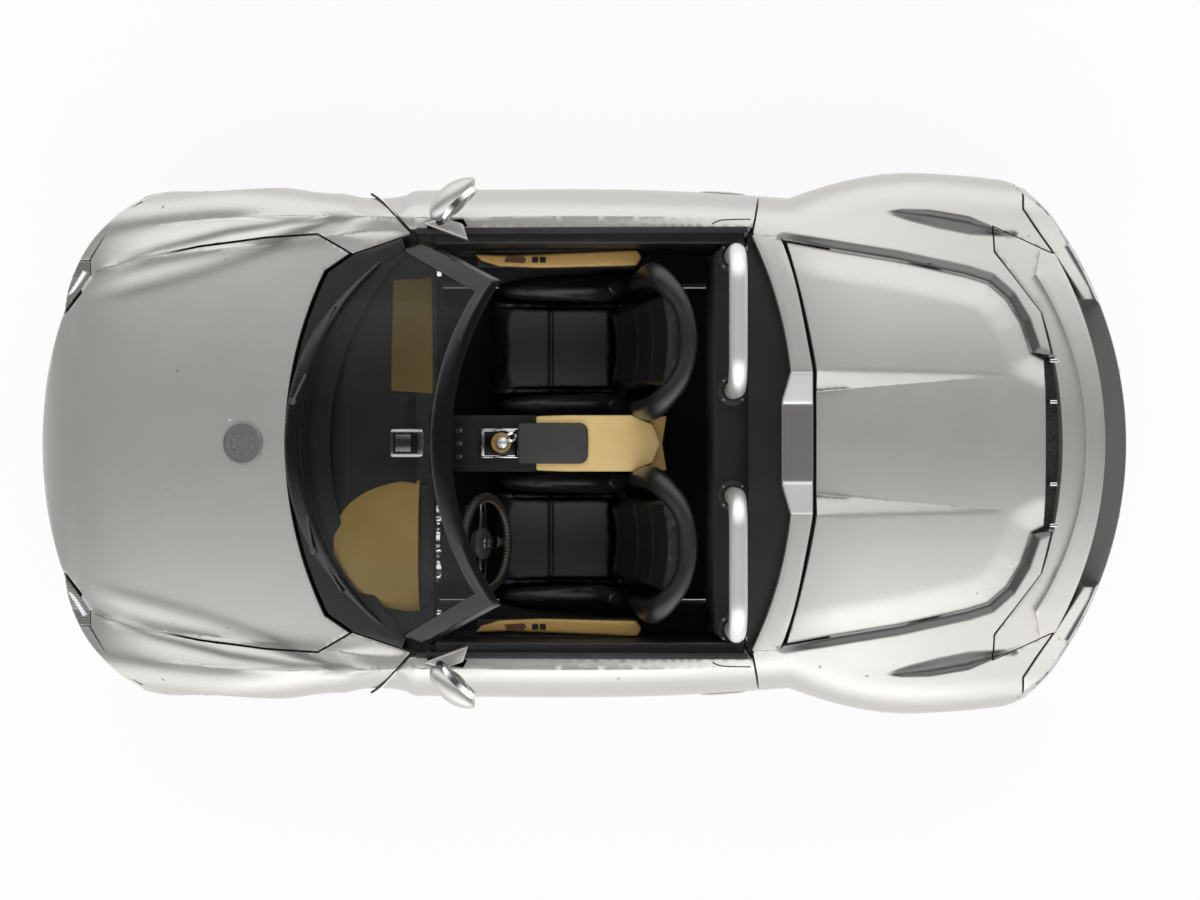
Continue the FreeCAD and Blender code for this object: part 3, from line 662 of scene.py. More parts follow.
# The rows that one smooth line runs through, with a crease where two of them meet
SPANS = [(0, 6), (5, 9), (8, 14)]
FORM_END = 1.94
FORM_STEPS = 389
TOP_STEP = 0.002
TOP_COUNT = 470


def natural_slopes(places, values):
    """Second derivatives of the smooth line through the values, straight at its ends."""
    count = len(places)
    system = numpy.zeros((count, count))
    right = numpy.zeros((count, values.shape[1]))
    system[0, 0] = system[-1, -1] = 1
    for i in range(1, count - 1):
        before, after = places[i] - places[i - 1], places[i + 1] - places[i]
        system[i, i - 1:i + 2] = before / 6, (before + after) / 3, after / 6
        right[i] = (values[i + 1] - values[i]) / after - (values[i] - values[i - 1]) / before
    return numpy.linalg.solve(system, right)


def section_values(x):
    """The section's eight numbers at any x."""
    table = numpy.array(SECTIONS)
    first, last = next(span for span in SPANS if x <= table[span[1] - 1, 0] or span == SPANS[-1])
    places, values = table[first:last, 0], table[first:last, 1:]
    bends = natural_slopes(places, values)
    i = int(numpy.clip(numpy.searchsorted(places, x) - 1, 0, len(places) - 2))
    width = places[i + 1] - places[i]
    a = (places[i + 1] - x) / width
    b = 1 - a
    cubic = ((a ** 3 - a) * bends[i] + (b ** 3 - b) * bends[i + 1]) * width ** 2 / 6
    return a * values[i] + b * values[i + 1] + cubic


def arc(start, through, end, steps):
    """Points on the circle through three points, from start to end."""
    (ax, ay), (bx, by), (cx, cy) = start, through, end
    d = 2 * (ax * (by - cy) + bx * (cy - ay) + cx * (ay - by))
    ux = ((ax * ax + ay * ay) * (by - cy) + (bx * bx + by * by) * (cy - ay)
          + (cx * cx + cy * cy) * (ay - by)) / d
    uy = ((ax * ax + ay * ay) * (cx - bx) + (bx * bx + by * by) * (ax - cx)
          + (cx * cx + cy * cy) * (bx - ax)) / d
    radius = math.hypot(ax - ux, ay - uy)
    first = math.atan2(ay - uy, ax - ux)
    last = math.atan2(cy - uy, cx - ux)
    middle = math.atan2(by - uy, bx - ux)
    turn = (last - first) % (2 * math.pi)
    if (middle - first) % (2 * math.pi) > turn:
        turn -= 2 * math.pi
    return [(ux + radius * math.cos(first + turn * i / steps),
             uy + radius * math.sin(first + turn * i / steps)) for i in range(steps + 1)]


def section_line(x):
    """The right half of the section at x, from the middle of the car down to the sill."""
    z_mid, y_val, z_val, y_crest, z_crest, y_wide, z_wide, y_low = section_values(x)
    shoulder = (y_crest + 0.74 * (y_wide - y_crest), z_crest - 0.30 * (z_crest - z_wide))
    flank = (y_wide - 0.18 * (y_wide - y_low), (z_wide + SILL_Z) / 2)
    crown = arc((-y_val, z_val), (0, z_mid), (y_val, z_val), 80)[40:]
    upper = arc((y_crest, z_crest), shoulder, (y_wide, z_wide), 40)
    lower = arc((y_wide, z_wide), flank, (y_low, SILL_Z), 30)
    rough = numpy.array(crown + upper + lower[1:])
    steps = numpy.hypot(*numpy.diff(rough, axis=0).T)
    run = numpy.concatenate([[0], numpy.cumsum(steps)])
    even = numpy.linspace(0, run[-1], SECTION_STEPS)
    line = numpy.stack([numpy.interp(even, run, rough[:, 0]), numpy.interp(even, run, rough[:, 1])],
                       1)
    for _ in range(CREASE_PASSES):
        line[1:-1] = (line[:-2] + 2 * line[1:-1] + line[2:]) / 4
    return line


class BodyForm:
    """The body's surface as a dense net, for laying points on it."""

    def __init__(self):
        self.low = -FORM_END
        self.step = 2 * FORM_END / (FORM_STEPS - 1)
        self.lines = numpy.array([section_line(self.low + self.step * i)
                                  for i in range(FORM_STEPS)])
        self.rates = numpy.gradient(self.lines, self.step, axis=0)
        self.build_tops()

    def closest(self, points):
        """For many points: the nearest point of the section there, its distance and its facing."""
        feet, gaps, facings = [], [], []
        for part in numpy.array_split(points, len(points) // 2000 + 1):
            place = numpy.clip((part[:, 0] - self.low) / self.step, 0, len(self.lines) - 1.001)
            index = place.astype(int)
            t = (place - index)[:, None, None]
            lines = self.lines[index] * (1 - t) + self.lines[index + 1] * t
            point = numpy.stack([numpy.abs(part[:, 1]), part[:, 2]], 1)
            rows = numpy.arange(len(part))
            nearest = numpy.argmin(numpy.hypot(*numpy.moveaxis(lines - point[:, None], 2, 0)),
                                   axis=1)
            best = numpy.full(len(part), 9.0)
            foot = numpy.zeros_like(point)
            for step in (-1, 0):
                first = numpy.clip(nearest + step, 0, lines.shape[1] - 2)
                start = lines[rows, first]
                along_line = lines[rows, first + 1] - start
                u = numpy.sum((point - start) * along_line, 1) / numpy.sum(along_line ** 2, 1)
                there = start + along_line * numpy.clip(u, 0, 1)[:, None]
                gap = numpy.hypot(*(there - point).T)
                closer = gap < best
                best[closer] = gap[closer]
                foot[closer] = there[closer]
            chord = lines[rows, numpy.minimum(nearest + 2, lines.shape[1] - 1)] - \
                lines[rows, numpy.maximum(nearest - 2, 0)]
            rate = self.rates[index, nearest]
            side = numpy.stack([-chord[:, 1], chord[:, 0]], 1)
            facing = numpy.stack([-numpy.sum(side * rate, 1), side[:, 0], side[:, 1]], 1)
            facing /= numpy.linalg.norm(facing, axis=1)[:, None]
            sign = numpy.where(part[:, 1] < 0, -1.0, 1.0)
            facing[:, 1] *= sign
            feet.append(numpy.stack([part[:, 0], foot[:, 0] * sign, foot[:, 1]], 1))
            gaps.append(best)
            facings.append(facing)
        return numpy.concatenate(feet), numpy.concatenate(gaps), numpy.concatenate(facings)

    def build_tops(self):
        """Heights of the upper side on a grid in plan, for quick reading."""
        spread = numpy.linspace(0, TOP_STEP * TOP_COUNT, TOP_COUNT + 1)
        rows = []
        for line in self.lines:
            widest = int(numpy.argmax(line[:, 0]))
            rows.append(numpy.interp(spread, line[:widest + 1, 0], line[:widest + 1, 1]))
        self.tops = numpy.array(rows).tolist()

    def top(self, x, y):
        """Height of the body's upper side at a place in plan."""
        place = min(max((x - self.low) / self.step, 0), len(self.tops) - 1.001)
        across = min(abs(y) / TOP_STEP, TOP_COUNT - 0.001)
        i, j = int(place), int(across)
        t, u = place - i, across - j
        near, far = self.tops[i], self.tops[i + 1]
        return (near[j] * (1 - u) + near[j + 1] * u) * (1 - t) + (far[j] * (1 - u)
                                                                  + far[j + 1] * u) * t

    def normal(self, x, y):
        """Upward direction of the upper side."""
        reach = 0.004
        dx = (self.top(x + reach, y) - self.top(x - reach, y)) / (2 * reach)
        dy = (self.top(x, y + reach) - self.top(x, y - reach)) / (2 * reach)
        return Vector((-dx, -dy, 1)).normalized()


FORM = BodyForm()

# %% [markdown]
# ## Relief
# A leaf-shaped hollow runs along each front wing beside the bonnet, and a smaller one lies on each
# rear wing. The rear wings also fall in a steep narrow slope to the lower lid between them.

# %% Hollows and slopes
# Each line gives half widths in plan along the car.
LEAF_OUTER = [(-1.74, 0.560), (-1.611, 0.629), (-1.456, 0.676), (-1.196, 0.730), (-0.983, 0.757),
              (-0.79, 0.762)]
LEAF_INNER = [(-1.74, 0.470), (-1.601, 0.501), (-1.456, 0.534), (-1.284, 0.578), (-1.112, 0.636),
              (-0.956, 0.697), (-0.79, 0.756)]
LEAF_FRONT, LEAF_REAR = -1.74, -0.79
LEAF_DEPTH = 0.012
WING_FRONT, WING_REAR = 1.0, 1.42
WING_DEPTH = 0.012
WING_LEAF_OUTER = [(1.000, 0.772), (1.060, 0.780), (1.155, 0.779), (1.285, 0.758), (1.396, 0.710)]
WING_LEAF_INNER = [(1.000, 0.768), (1.076, 0.741), (1.180, 0.714), (1.285, 0.694), (1.396, 0.688)]
LID_EDGE = [(0.660, 0.669), (1.037, 0.610), (1.271, 0.560), (1.346, 0.537), (1.409, 0.481),
            (1.455, 0.402), (1.488, 0.300), (1.530, 0.280)]
LID_DEPTH = 0.017
LID_RISE, LID_SLOPE = 0.110, 0.030


def along(line, x):
    """The line's second number where its first is x."""
    if x <= line[0][0]:
        return line[0][1]
    for (ax, ay), (bx, by) in zip(line, line[1:]):
        if x <= bx:
            return ay + (by - ay) * (x - ax) / (bx - ax)
    return line[-1][1]


def ease(t):
    """From 0 to 1 with soft ends."""
    t = min(1.0, max(0.0, t))
    return t * t * (3 - 2 * t)


def leaf_relief(x, y):
    """Hollow beside the bonnet: a soft inner slope, a flat floor and a steep outer wall."""
    if not LEAF_FRONT < x < LEAF_REAR:
        return 0.0
    inner, outer = along(LEAF_INNER, x), along(LEAF_OUTER, x)
    if not inner < abs(y) < outer:
        return 0.0
    t = (abs(y) - inner) / (outer - inner)
    ends = ease((x - LEAF_FRONT) / 0.25) * ease((LEAF_REAR - x) / 0.30)
    return LEAF_DEPTH * ends * ease(t / 0.6) * ease((outer - abs(y)) / 0.030)


def wing_relief(x, y):
    """Hollow on the rear wing, deepest along its inner part."""
    if not WING_FRONT < x < WING_REAR:
        return 0.0
    inner, outer = along(WING_LEAF_INNER, x), along(WING_LEAF_OUTER, x)
    if not inner < abs(y) < outer:
        return 0.0
    t = (abs(y) - inner) / (outer - inner)
    ends = ease((x - WING_FRONT) / 0.12) * ease((WING_REAR - x) / 0.05)
    return WING_DEPTH * ends * ease((1 - t) / 0.35) * ease(t / 0.55)


def lid_distance(x, y):
    """How far a place is from the lid's edge line in plan, and whether it is inside."""
    y = abs(y)
    best = 9.0
    for (ax, ay), (bx, by) in zip(LID_EDGE, LID_EDGE[1:]):
        dx, dy = bx - ax, by - ay
        t = min(1.0, max(0.0, ((x - ax) * dx + (y - ay) * dy) / (dx * dx + dy * dy)))
        best = min(best, math.hypot(ax + t * dx - x, ay + t * dy - y))
    return best, x < LID_EDGE[-1][0] and y < along(LID_EDGE, x)


def lid_relief(x, y):
    """The wings fall to the lid in a narrow slope, and the lid rises again slowly."""
    if x < 0.55 or x > 1.56 or abs(y) > 0.72:
        return 0.0
    gap, inside = lid_distance(x, y)
    start = ease((x - 0.60) / 0.25)
    width = LID_RISE if inside else LID_SLOPE
    return LID_DEPTH * start * ease(1 - gap / width)


def relief(x, y):
    """How deep the body's upper side is sunk at a place in plan."""
    return leaf_relief(x, y) + wing_relief(x, y) + lid_relief(x, y)


# Painted shade: the functions below give how far the paint is darkened at each place.
def leaf_painted_shade(x, y):
    """Painted shade in the leaf hollow: dark on the outer wall, light on the floor, and broad and
    soft on the inner slope.
    """
    inner, outer = along(LEAF_INNER, x), along(LEAF_OUTER, x)
    if not LEAF_FRONT < x < -0.72 or not inner - 0.07 < abs(y) < outer + 0.02:
        return 0.0
    ends = ease((x - LEAF_FRONT) / 0.25) * ease((-0.72 - x) / 0.20)
    wall = 0.75 * math.exp(-((outer - 0.012 - abs(y)) / 0.013) ** 2)
    slope = 0.55 * math.exp(-((abs(y) - inner - 0.012) / 0.026) ** 2)
    return ends * max(wall, slope)


def wing_painted_shade(x, y):
    """Even painted shade over the whole hollow."""
    if not WING_FRONT < x < 1.45:
        return 0.0
    inner, outer = along(WING_LEAF_INNER, x), along(WING_LEAF_OUTER, x)
    side = ease((abs(y) - inner + 0.004) / 0.008) * ease((outer + 0.004 - abs(y)) / 0.008)
    return side * ease((x - 0.995) / 0.05)


def lid_painted_shade(x, y):
    """Painted shade: a dark band along the foot of the slope, a little wider than the shut line."""
    if x < 0.60 or x > 1.56 or abs(y) > 0.72:
        return 0.0
    gap, inside = lid_distance(x, y)
    start = 0.60 + 0.40 * ease((x - 0.60) / 0.20)
    reach = 0.008 if inside else 0.022
    return start * ease(1 - (gap - reach) / 0.008)


# The painted shade strip's front edge as half width, x, and the height of its lower edge
SHADE_STRIP_EDGE = [(0.0, 1.766), (0.192, 1.758), (0.454, 1.700), (0.519, 1.682), (0.637, 1.620),
              (0.760, 1.560),
              (1.0, 1.50)]
SHADE_STRIP_LOW_Z = 0.560


def strip_painted_shade(x, y, z):
    """Painted shade: a grey strip across the tail, below the edge of the light band."""
    if x < 1.48:
        return 0.0
    return 0.80 * ease((x - along(SHADE_STRIP_EDGE, abs(y))) / 0.008
                       + 0.5) * ease((z - SHADE_STRIP_LOW_Z) / 0.006)


def paint_shade_in_hollows(skin):
    """Note on each point how much of a hollow it is in, as painted shade for the paint to darken;
    the tail strip gets painted shade too.
    """
    shade_marks = skin.data.attributes.new("hollow", "FLOAT", "POINT")
    values = []
    for vert in skin.data.vertices:
        x, y, z = vert.co
        shade = strip_painted_shade(x, y, z)
        if vert.normal.z > 0.2:
            shade = max(shade, leaf_painted_shade(x, y), wing_painted_shade(x, y), lid_painted_shade(x, y))
        values.append(shade)
    shade_marks.data.foreach_set("value", values)


# %% [markdown]
# ## Painted panels
# A panel starts as a copy of its solid, so it keeps every cut and gap. Long edges are halved until
# the mesh is fine, the outer points go onto the body's form, and the rims get a small bevel that
# catches the light along the shut lines.

# %% Skins of the panels
# Points nearer the form than the outer band are laid on it, wholly from the full band on.
OUTER_BAND = 0.012
FULL_BAND = 0.004
LEAST_FACING = 0.75
RIM_EDGE = 0.004
UPPER_BAND = 0.030
HOLLOW_REACH = 0.060
SHADE_STRIP_NET, SHADE_STRIP_NET_REACH, SHADE_STRIP_FRONT_X = 0.010, 0.024, 1.52
# Columns: line, how near to it, longest edge there
FINE_LINES = [
    (LEAF_OUTER, 0.036, 0.0055),
    (LEAF_INNER, 0.040, 0.011),
    (WING_LEAF_OUTER, 0.016, 0.0050),
    (WING_LEAF_INNER, 0.016, 0.0050),
    (LID_EDGE, 0.036, 0.0065),
    ([(x, y) for y, x in SHADE_STRIP_EDGE], 0.012, 0.0070),
]


def line_gap(line, x, y):
    """Distance in plan from many places to a line, by place."""
    best = numpy.full(x.shape, 9.0)
    for (ax, ay), (bx, by) in zip(line, line[1:]):
        dx, dy = bx - ax, by - ay
        t = numpy.clip(((x - ax) * dx + (y - ay) * dy) / (dx * dx + dy * dy), 0, 1)
        best = numpy.minimum(best, numpy.hypot(ax + t * dx - x, ay + t * dy - y))
    return best


def edge_limits(middles, longest):
    """The longest edge allowed at each place: short where a hollow or the painted shade strip
    begins.
    """
    x, y = middles[:, 0], numpy.abs(middles[:, 1])
    limits = numpy.full(x.shape, longest)
    tops = numpy.array([FORM.top(*place) for place in middles[:, :2]])
    upper = middles[:, 2] > tops - UPPER_BAND
    for line, reach, finest in FINE_LINES:
        near = (line_gap(line, x, y) < reach) & upper
        limits[near] = numpy.minimum(limits[near], finest)
    shade_strip_foot = (numpy.abs(middles[:, 2] - SHADE_STRIP_LOW_Z) < SHADE_STRIP_NET_REACH) & (x > SHADE_STRIP_FRONT_X)
    limits[shade_strip_foot] = numpy.minimum(limits[shade_strip_foot], SHADE_STRIP_NET)
    return limits


def split_edges(shape, longest):
    """Halve the long edges until the net is fine everywhere."""
    for _ in range(8):
        edges = list(shape.edges)
        ends = numpy.array([(*edge.verts[0].co, *edge.verts[1].co) for edge in edges])
        lengths = numpy.linalg.norm(ends[:, 3:] - ends[:, :3], axis=1)
        limits = edge_limits((ends[:, :3] + ends[:, 3:]) / 2, longest)
        long_edges = [edges[i] for i in numpy.nonzero(lengths > limits)[0]]
        if not long_edges:
            break
        bmesh.ops.subdivide_edges(shape, edges=long_edges, cuts=1)
        bmesh.ops.triangulate(shape, faces=[f for f in shape.faces if len(f.verts) > 3])


def lay_on_form(shape):
    """Move the outer points onto the form, take the rims along, then sink the hollows."""
    shape.normal_update()
    points = numpy.array([vert.co for vert in shape.verts])
    normals = numpy.array([vert.normal for vert in shape.verts])
    feet, gaps, facings = FORM.closest(points)
    outer = (gaps < OUTER_BAND) & (numpy.sum(facings * normals, 1) > LEAST_FACING)
    shifts = {}
    for vert, foot, gap, wanted in zip(shape.verts, feet, gaps, outer):
        if wanted:
            share = ease((OUTER_BAND - gap) / (OUTER_BAND - FULL_BAND))
            shifts[vert] = (Vector(foot) - vert.co) * share
    for _ in range(3):
        followers = {}
        for vert in shape.verts:
            if vert in shifts:
                continue
            near = [shifts[other] for edge in vert.link_edges if edge.calc_length() < RIM_EDGE
                    for other in (edge.other_vert(vert),) if other in shifts]
            if near:
                followers[vert] = sum(near, Vector()) / len(near)
        shifts.update(followers)
    for vert, shift in shifts.items():
        vert.co += shift
    for vert in shape.verts:
        x, y, z = vert.co
        depth = relief(x, y)
        if depth > 0 and z > FORM.top(x, y) - HOLLOW_REACH:
            vert.co.z -= depth


def refined(name, node, longest=0.017, bevel=0.0022, lay=True, reshape=None):
    """A smooth fine copy of a painted solid."""
    skin = copy_of(bpy.data.objects[node], name)
    skin.data.materials.clear()
    shape = bmesh.new()
    shape.from_mesh(skin.data)
    bmesh.ops.remove_doubles(shape, verts=shape.verts, dist=0.00008)
    bmesh.ops.dissolve_limit(shape, angle_limit=0.004, verts=shape.verts, edges=shape.edges)
    bmesh.ops.triangulate(shape, faces=shape.faces, quad_method="BEAUTY", ngon_method="BEAUTY")
    if reshape:
        for vert in shape.verts:
            reshape(vert)
    shape.to_mesh(skin.data)
    shape.free()
    if bevel:
        modify(skin, "BEVEL", width=bevel, segments=2, limit_method="ANGLE",
               angle_limit=math.radians(40), harden_normals=False)
    shape = bmesh.new()
    shape.from_mesh(skin.data)
    split_edges(shape, longest)
    if lay:
        lay_on_form(shape)
    shape.to_mesh(skin.data)
    shape.free()
    smooth(skin, 42)
    return skin


# The arch's rear edge as half width, x
ARCH_REAR = [(0.235, 0.752), (0.340, 0.729), (0.470, 0.700), (0.570, 0.667), (0.684, 0.627)]


def widen_arch(vert):
    """Bring the arch's rear edge up to the lid, towards the sides."""
    x, y, z = vert.co
    half = min(abs(y), 0.684)
    rear = along(ARCH_REAR, half)
    if x > rear - 0.015 and half > 0.30:
        step = 0.019 * ease((half - 0.30) / 0.384)
        vert.co.z += FORM.top(x + step, y) - FORM.top(x, y)
        vert.co.x += step


PANELS = [
    # Columns: node, body, longest edge, bevel
    ("front_bumper", "chassis", 0.036, 0.004),
    ("bonnet", "bonnet", 0.017, 0.0025),
    ("front_fender_left", "chassis", 0.017, 0.0025),
    ("front_fender_right", "chassis", 0.017, 0.0025),
    ("rear_quarter_left", "chassis", 0.017, 0.0025),
    ("rear_quarter_right", "chassis", 0.017, 0.0025),
    ("rear_arch", "chassis", 0.030, 0.0025),
    ("rear_lid", "rear_lid", 0.017, 0.0025),
    ("tail_panel", "chassis", 0.030, 0.0030),
    ("rear_bumper", "chassis", 0.036, 0.004),
    ("door_left", "door_left", 0.026, 0.0025),
    ("door_right", "door_right", 0.026, 0.0025),
]
skins = {}
for node, body, longest, bevel in PANELS:
    reshape = widen_arch if node == "rear_arch" else None
    skin = refined(node + "_skin", node, longest, bevel, reshape=reshape)
    paint_shade_in_hollows(skin)
    skins[node] = finish(skin, SILVER, body, [node])
    print("skin", node, len(skin.data.polygons))


MIRROR_REAR_X, MIRROR_REACH = -0.3, 0.83


def without_mirror(skin):
    """Take the plain mirror off a door's skin; a better one follows."""
    shape = bmesh.new()
    shape.from_mesh(skin.data)
    extra = []
    for face in shape.faces:
        x, y, z = face.calc_center_median()
        if x < MIRROR_REAR_X and z > FORM.top(x, min(abs(y), MIRROR_REACH)) + 0.004:
            extra.append(face)
    bmesh.ops.delete(shape, geom=extra, context="FACES")
    shape.to_mesh(skin.data)
    shape.free()


for _, side in SIDES:
    without_mirror(skins["door_" + side])

CHANNEL_DEPTH = 0.025
LID_SKIN = 0.032
LID_RIM_X = 1.5209
CHANNEL_FRONT_X = 0.757
CHANNEL_END_X = 1.385
CHANNEL_INNER = [(0.700, 0.162), (1.385, 0.222), (1.560, 0.242)]
CHANNEL_OUTER = [(0.700, 0.238), (1.385, 0.226), (1.560, 0.244)]


def slope_channel(skin):
    """Turn the lid's upright channel walls into long facets that run out to a point."""
    for vert in skin.data.vertices:
        x, y, z = vert.co
        outer, inner = along(CHANNEL_OUTER, x), along(CHANNEL_INNER, x)
        top = FORM.top(x, y)
        drop = top - relief(x, y) - z
        if abs(y) > outer or vert.normal.z < -0.3 or drop > LID_SKIN:
            continue
        fade = 1 - min(1.0, max(0.0, (x - CHANNEL_FRONT_X) / (CHANNEL_END_X - CHANNEL_FRONT_X)))
        side = min(1.0, max(0.0, (outer - abs(y)) / max(outer - inner, 0.002)))
        rounding = max(0.0, drop - CHANNEL_DEPTH) if x > LID_RIM_X else 0.0
        vert.co.z = z + drop - CHANNEL_DEPTH * fade * side - rounding


slope_channel(skins["rear_lid"])


# %% [markdown]
# ## Cabin
# The dash carries a padded hood over the dials, a tan panel for the passenger and a bright pod in
# the middle. The console has a metal gate, a grey armrest and a tan rear half.

# %% Dash
SEAT_Y = 0.338
WHEEL_CENTRE = Vector((-0.326, -0.335, 0.800))
COLUMN_TILT = math.radians(25)
COLUMN_AXIS = Vector((math.cos(COLUMN_TILT), 0, math.sin(COLUMN_TILT)))
DOME_RINGS, DOME_STEPS = 12, 40


def dome(name, centre, reach, half, base, height):
    """A padded half dome: round towards the nose, straight at the rear, open below."""
    rows = []
    for ring in range(DOME_RINGS + 1):
        out = ring / DOME_RINGS
        row = []
        for step in range(DOME_STEPS + 1):
            angle = math.pi * (0.5 + step / DOME_STEPS)
            across = math.copysign(abs(math.sin(angle)) ** 0.8, math.sin(angle))
            x = centre[0] + reach * out * math.cos(angle)
            y = centre[1] + half * out * across
            lift = height * (1 - out ** 3.2) * (1 - 0.45 * (centre[0] - x) / reach)
            row.append((x, y, base + lift))
        rows.append(row)
    obj = sheet(name, rows, 0.012, flip=True, merge=0.0002)
    smooth(obj, 45)
    return obj


def dash():
    """Black dash with the padded hood, the tan panel and three dials."""
    top = refined("dash_body", "dashboard", longest=0.04, bevel=0.010, lay=False)
    for vert in top.data.vertices:
        if vert.co.x < -0.545 and -0.56 < vert.co.y < -0.13 and vert.co.z > 0.780:
            vert.co.z = 0.780
    finish(top, BLACK_HIDE, nodes=["dashboard"])
    hood = dome("dial_hood", (-0.548, -0.344), 0.285, 0.212, 0.774, 0.070)
    finish(hood, HOOD_TAN)
    brow = block("dial_brow", (-0.556, -0.548, 0.772), (-0.512, -0.140, 0.806), 0.012, 3)
    finish(brow, BLACK_HIDE)
    outline = [(-0.645, 0.175), (-0.503, 0.165), (-0.507, 0.553), (-0.637, 0.545)]
    panel = extruded("dash_panel", outline, 0.776, 0.806, bevel=0.008, segments=3)
    finish(panel, PANEL_TAN)
    for y in (-0.432, -0.335, -0.238):
        radius = 0.052 if y == -0.335 else 0.040
        ring = turned("dial_ring", [(0, radius - 0.006), (0.010, radius - 0.004), (0.012, radius),
                                    (0, radius + 0.002)], (-0.494, y, 0.728), "X", 48)
        finish(ring, CHROME)
        face = rod("dial_face", (-0.500, y, 0.728), (-0.489, y, 0.728), radius - 0.003, sides=48)
        finish(face, GLOSS_BLACK)
        needle = block("dial_needle", (-0.489, y - 0.0015, 0.722),
                       (-0.487, y + 0.0015, 0.728 + radius * 0.7), 0.0005)
        finish(needle, AMBER)


def dash_pod():
    """Bright framed pod on top of the dash, with a dark glass face."""
    frame_bar = block("pod_frame", (-0.648, -0.050, 0.778), (-0.532, 0.050, 0.822), 0.014, 4)
    finish(frame_bar, CHROME)
    face = block("pod_face", (-0.634, -0.036, 0.815), (-0.552, 0.036, 0.826), 0.004, 3)
    finish(face, GLOSS_BLACK)
    window = block("pod_window", (-0.626, -0.028, 0.8255), (-0.575, 0.028, 0.8275), 0.0008)
    finish(window, MIRROR_GLASS)


def vents():
    """Round air vents at the dash ends and a pair in the middle."""
    for y in (-0.585, 0.585, -0.060, 0.060):
        x = -0.505
        ring = turned("vent_ring", [(0, 0.026), (0.012, 0.027), (0.014, 0.033), (0, 0.036)],
                      (x + 0.012, y, 0.725), "X", 40)
        finish(ring, CHROME)
        back = rod("vent_back", (x, y, 0.725), (x + 0.016, y, 0.725), 0.0275, sides=40)
        finish(back, TRIM_BLACK)
        blades = [block("vent_blade", (x + 0.010, y - 0.024, 0.725 + dz - 0.001),
                        (x + 0.022, y + 0.024, 0.725 + dz + 0.001), 0.0006)
                  for dz in (-0.010, 0, 0.010)]
        finish(join("vent_blades", blades), DARK_GREY)


dash()
dash_pod()
vents()

# %% Steering wheel
HAND_RADIUS = 0.155
STITCHES = 72
STITCH_RADIUS = 0.141


def hand_wheel():
    """Leather rim with stitches, three metal spokes and a padded hub with a plain ring."""
    deselect()
    bpy.ops.mesh.primitive_torus_add(major_radius=HAND_RADIUS, minor_radius=0.0145,
                                     major_segments=96, minor_segments=20)
    rim = bpy.context.active_object
    rim.name = "hand_wheel_rim"
    for vert in rim.data.vertices:
        angle = math.atan2(vert.co.y, vert.co.x)
        thick = 1 + 0.10 * math.exp(-((abs(angle) - 1.15) / 0.22) ** 2)
        ring = Vector((math.cos(angle), math.sin(angle), 0)) * HAND_RADIUS
        vert.co = ring + (vert.co - ring) * thick
    smooth(rim, 60)
    stitches = []
    for index in range(STITCHES):
        angle = 2 * math.pi * index / STITCHES
        x, y = STITCH_RADIUS * math.cos(angle), STITCH_RADIUS * math.sin(angle)
        stitches.append(rod("stitch", (x, y, 0.001), (x, y, 0.007), 0.0009, sides=6))
    thread = join("hand_wheel_stitches", stitches)
    spokes = []
    for turn in (90, 180, 270):
        bar = extruded("hand_wheel_spoke", [(0.028, -0.022), (0.146, -0.012), (0.146, 0.012),
                                            (0.028, 0.022)], -0.016, -0.009, bevel=0.002)
        bar.rotation_euler = (0, 0, math.radians(turn))
        apply_place(bar)
        spokes.append(bar)
    arms = join("hand_wheel_spokes", spokes)
    hub = turned("hand_wheel_hub",
                 [(-0.034, 0.0001), (-0.034, 0.046), (-0.012, 0.054), (-0.004, 0.048),
                  (0.002, 0.030), (0.0035, 0.0001)], (0, 0, 0), "Z", 64)
    ring = turned("hand_wheel_ring",
                  [(-0.001, 0.016), (0.0055, 0.017), (0.0055, 0.020), (-0.001, 0.021)],
                  (0, 0, 0), "Z", 48)
    lean = Matrix.Translation(WHEEL_CENTRE) @ Matrix.Rotation(math.pi / 2 - COLUMN_TILT, 4, "Y")
    lean = lean @ Matrix.Rotation(math.pi, 4, "Z")
    finishes = [(rim, BLACK_HIDE, "black_leather"), (thread, TAN_TRIM, "tan_leather"),
                (arms, CHROME, "polished_steel"), (hub, BLACK, "black_plastic"),
                (ring, CHROME, "polished_steel")]
    for index, (piece, material, slot) in enumerate(finishes):
        piece.matrix_world = lean
        apply_place(piece)
        finish(piece, material, "steering_wheel", ["steering_wheel"] if index == 0 else ())
    base = WHEEL_CENTRE - COLUMN_AXIS * 0.085
    for side in (-1, 1):
        stalk = rod("column_stalk", base + Vector((0, side * 0.02, 0)),
                    base + Vector((0.012, side * 0.125, 0.012)), 0.0075, 0.005, 20)
        finish(stalk, BLACK)


hand_wheel()

# %% Console


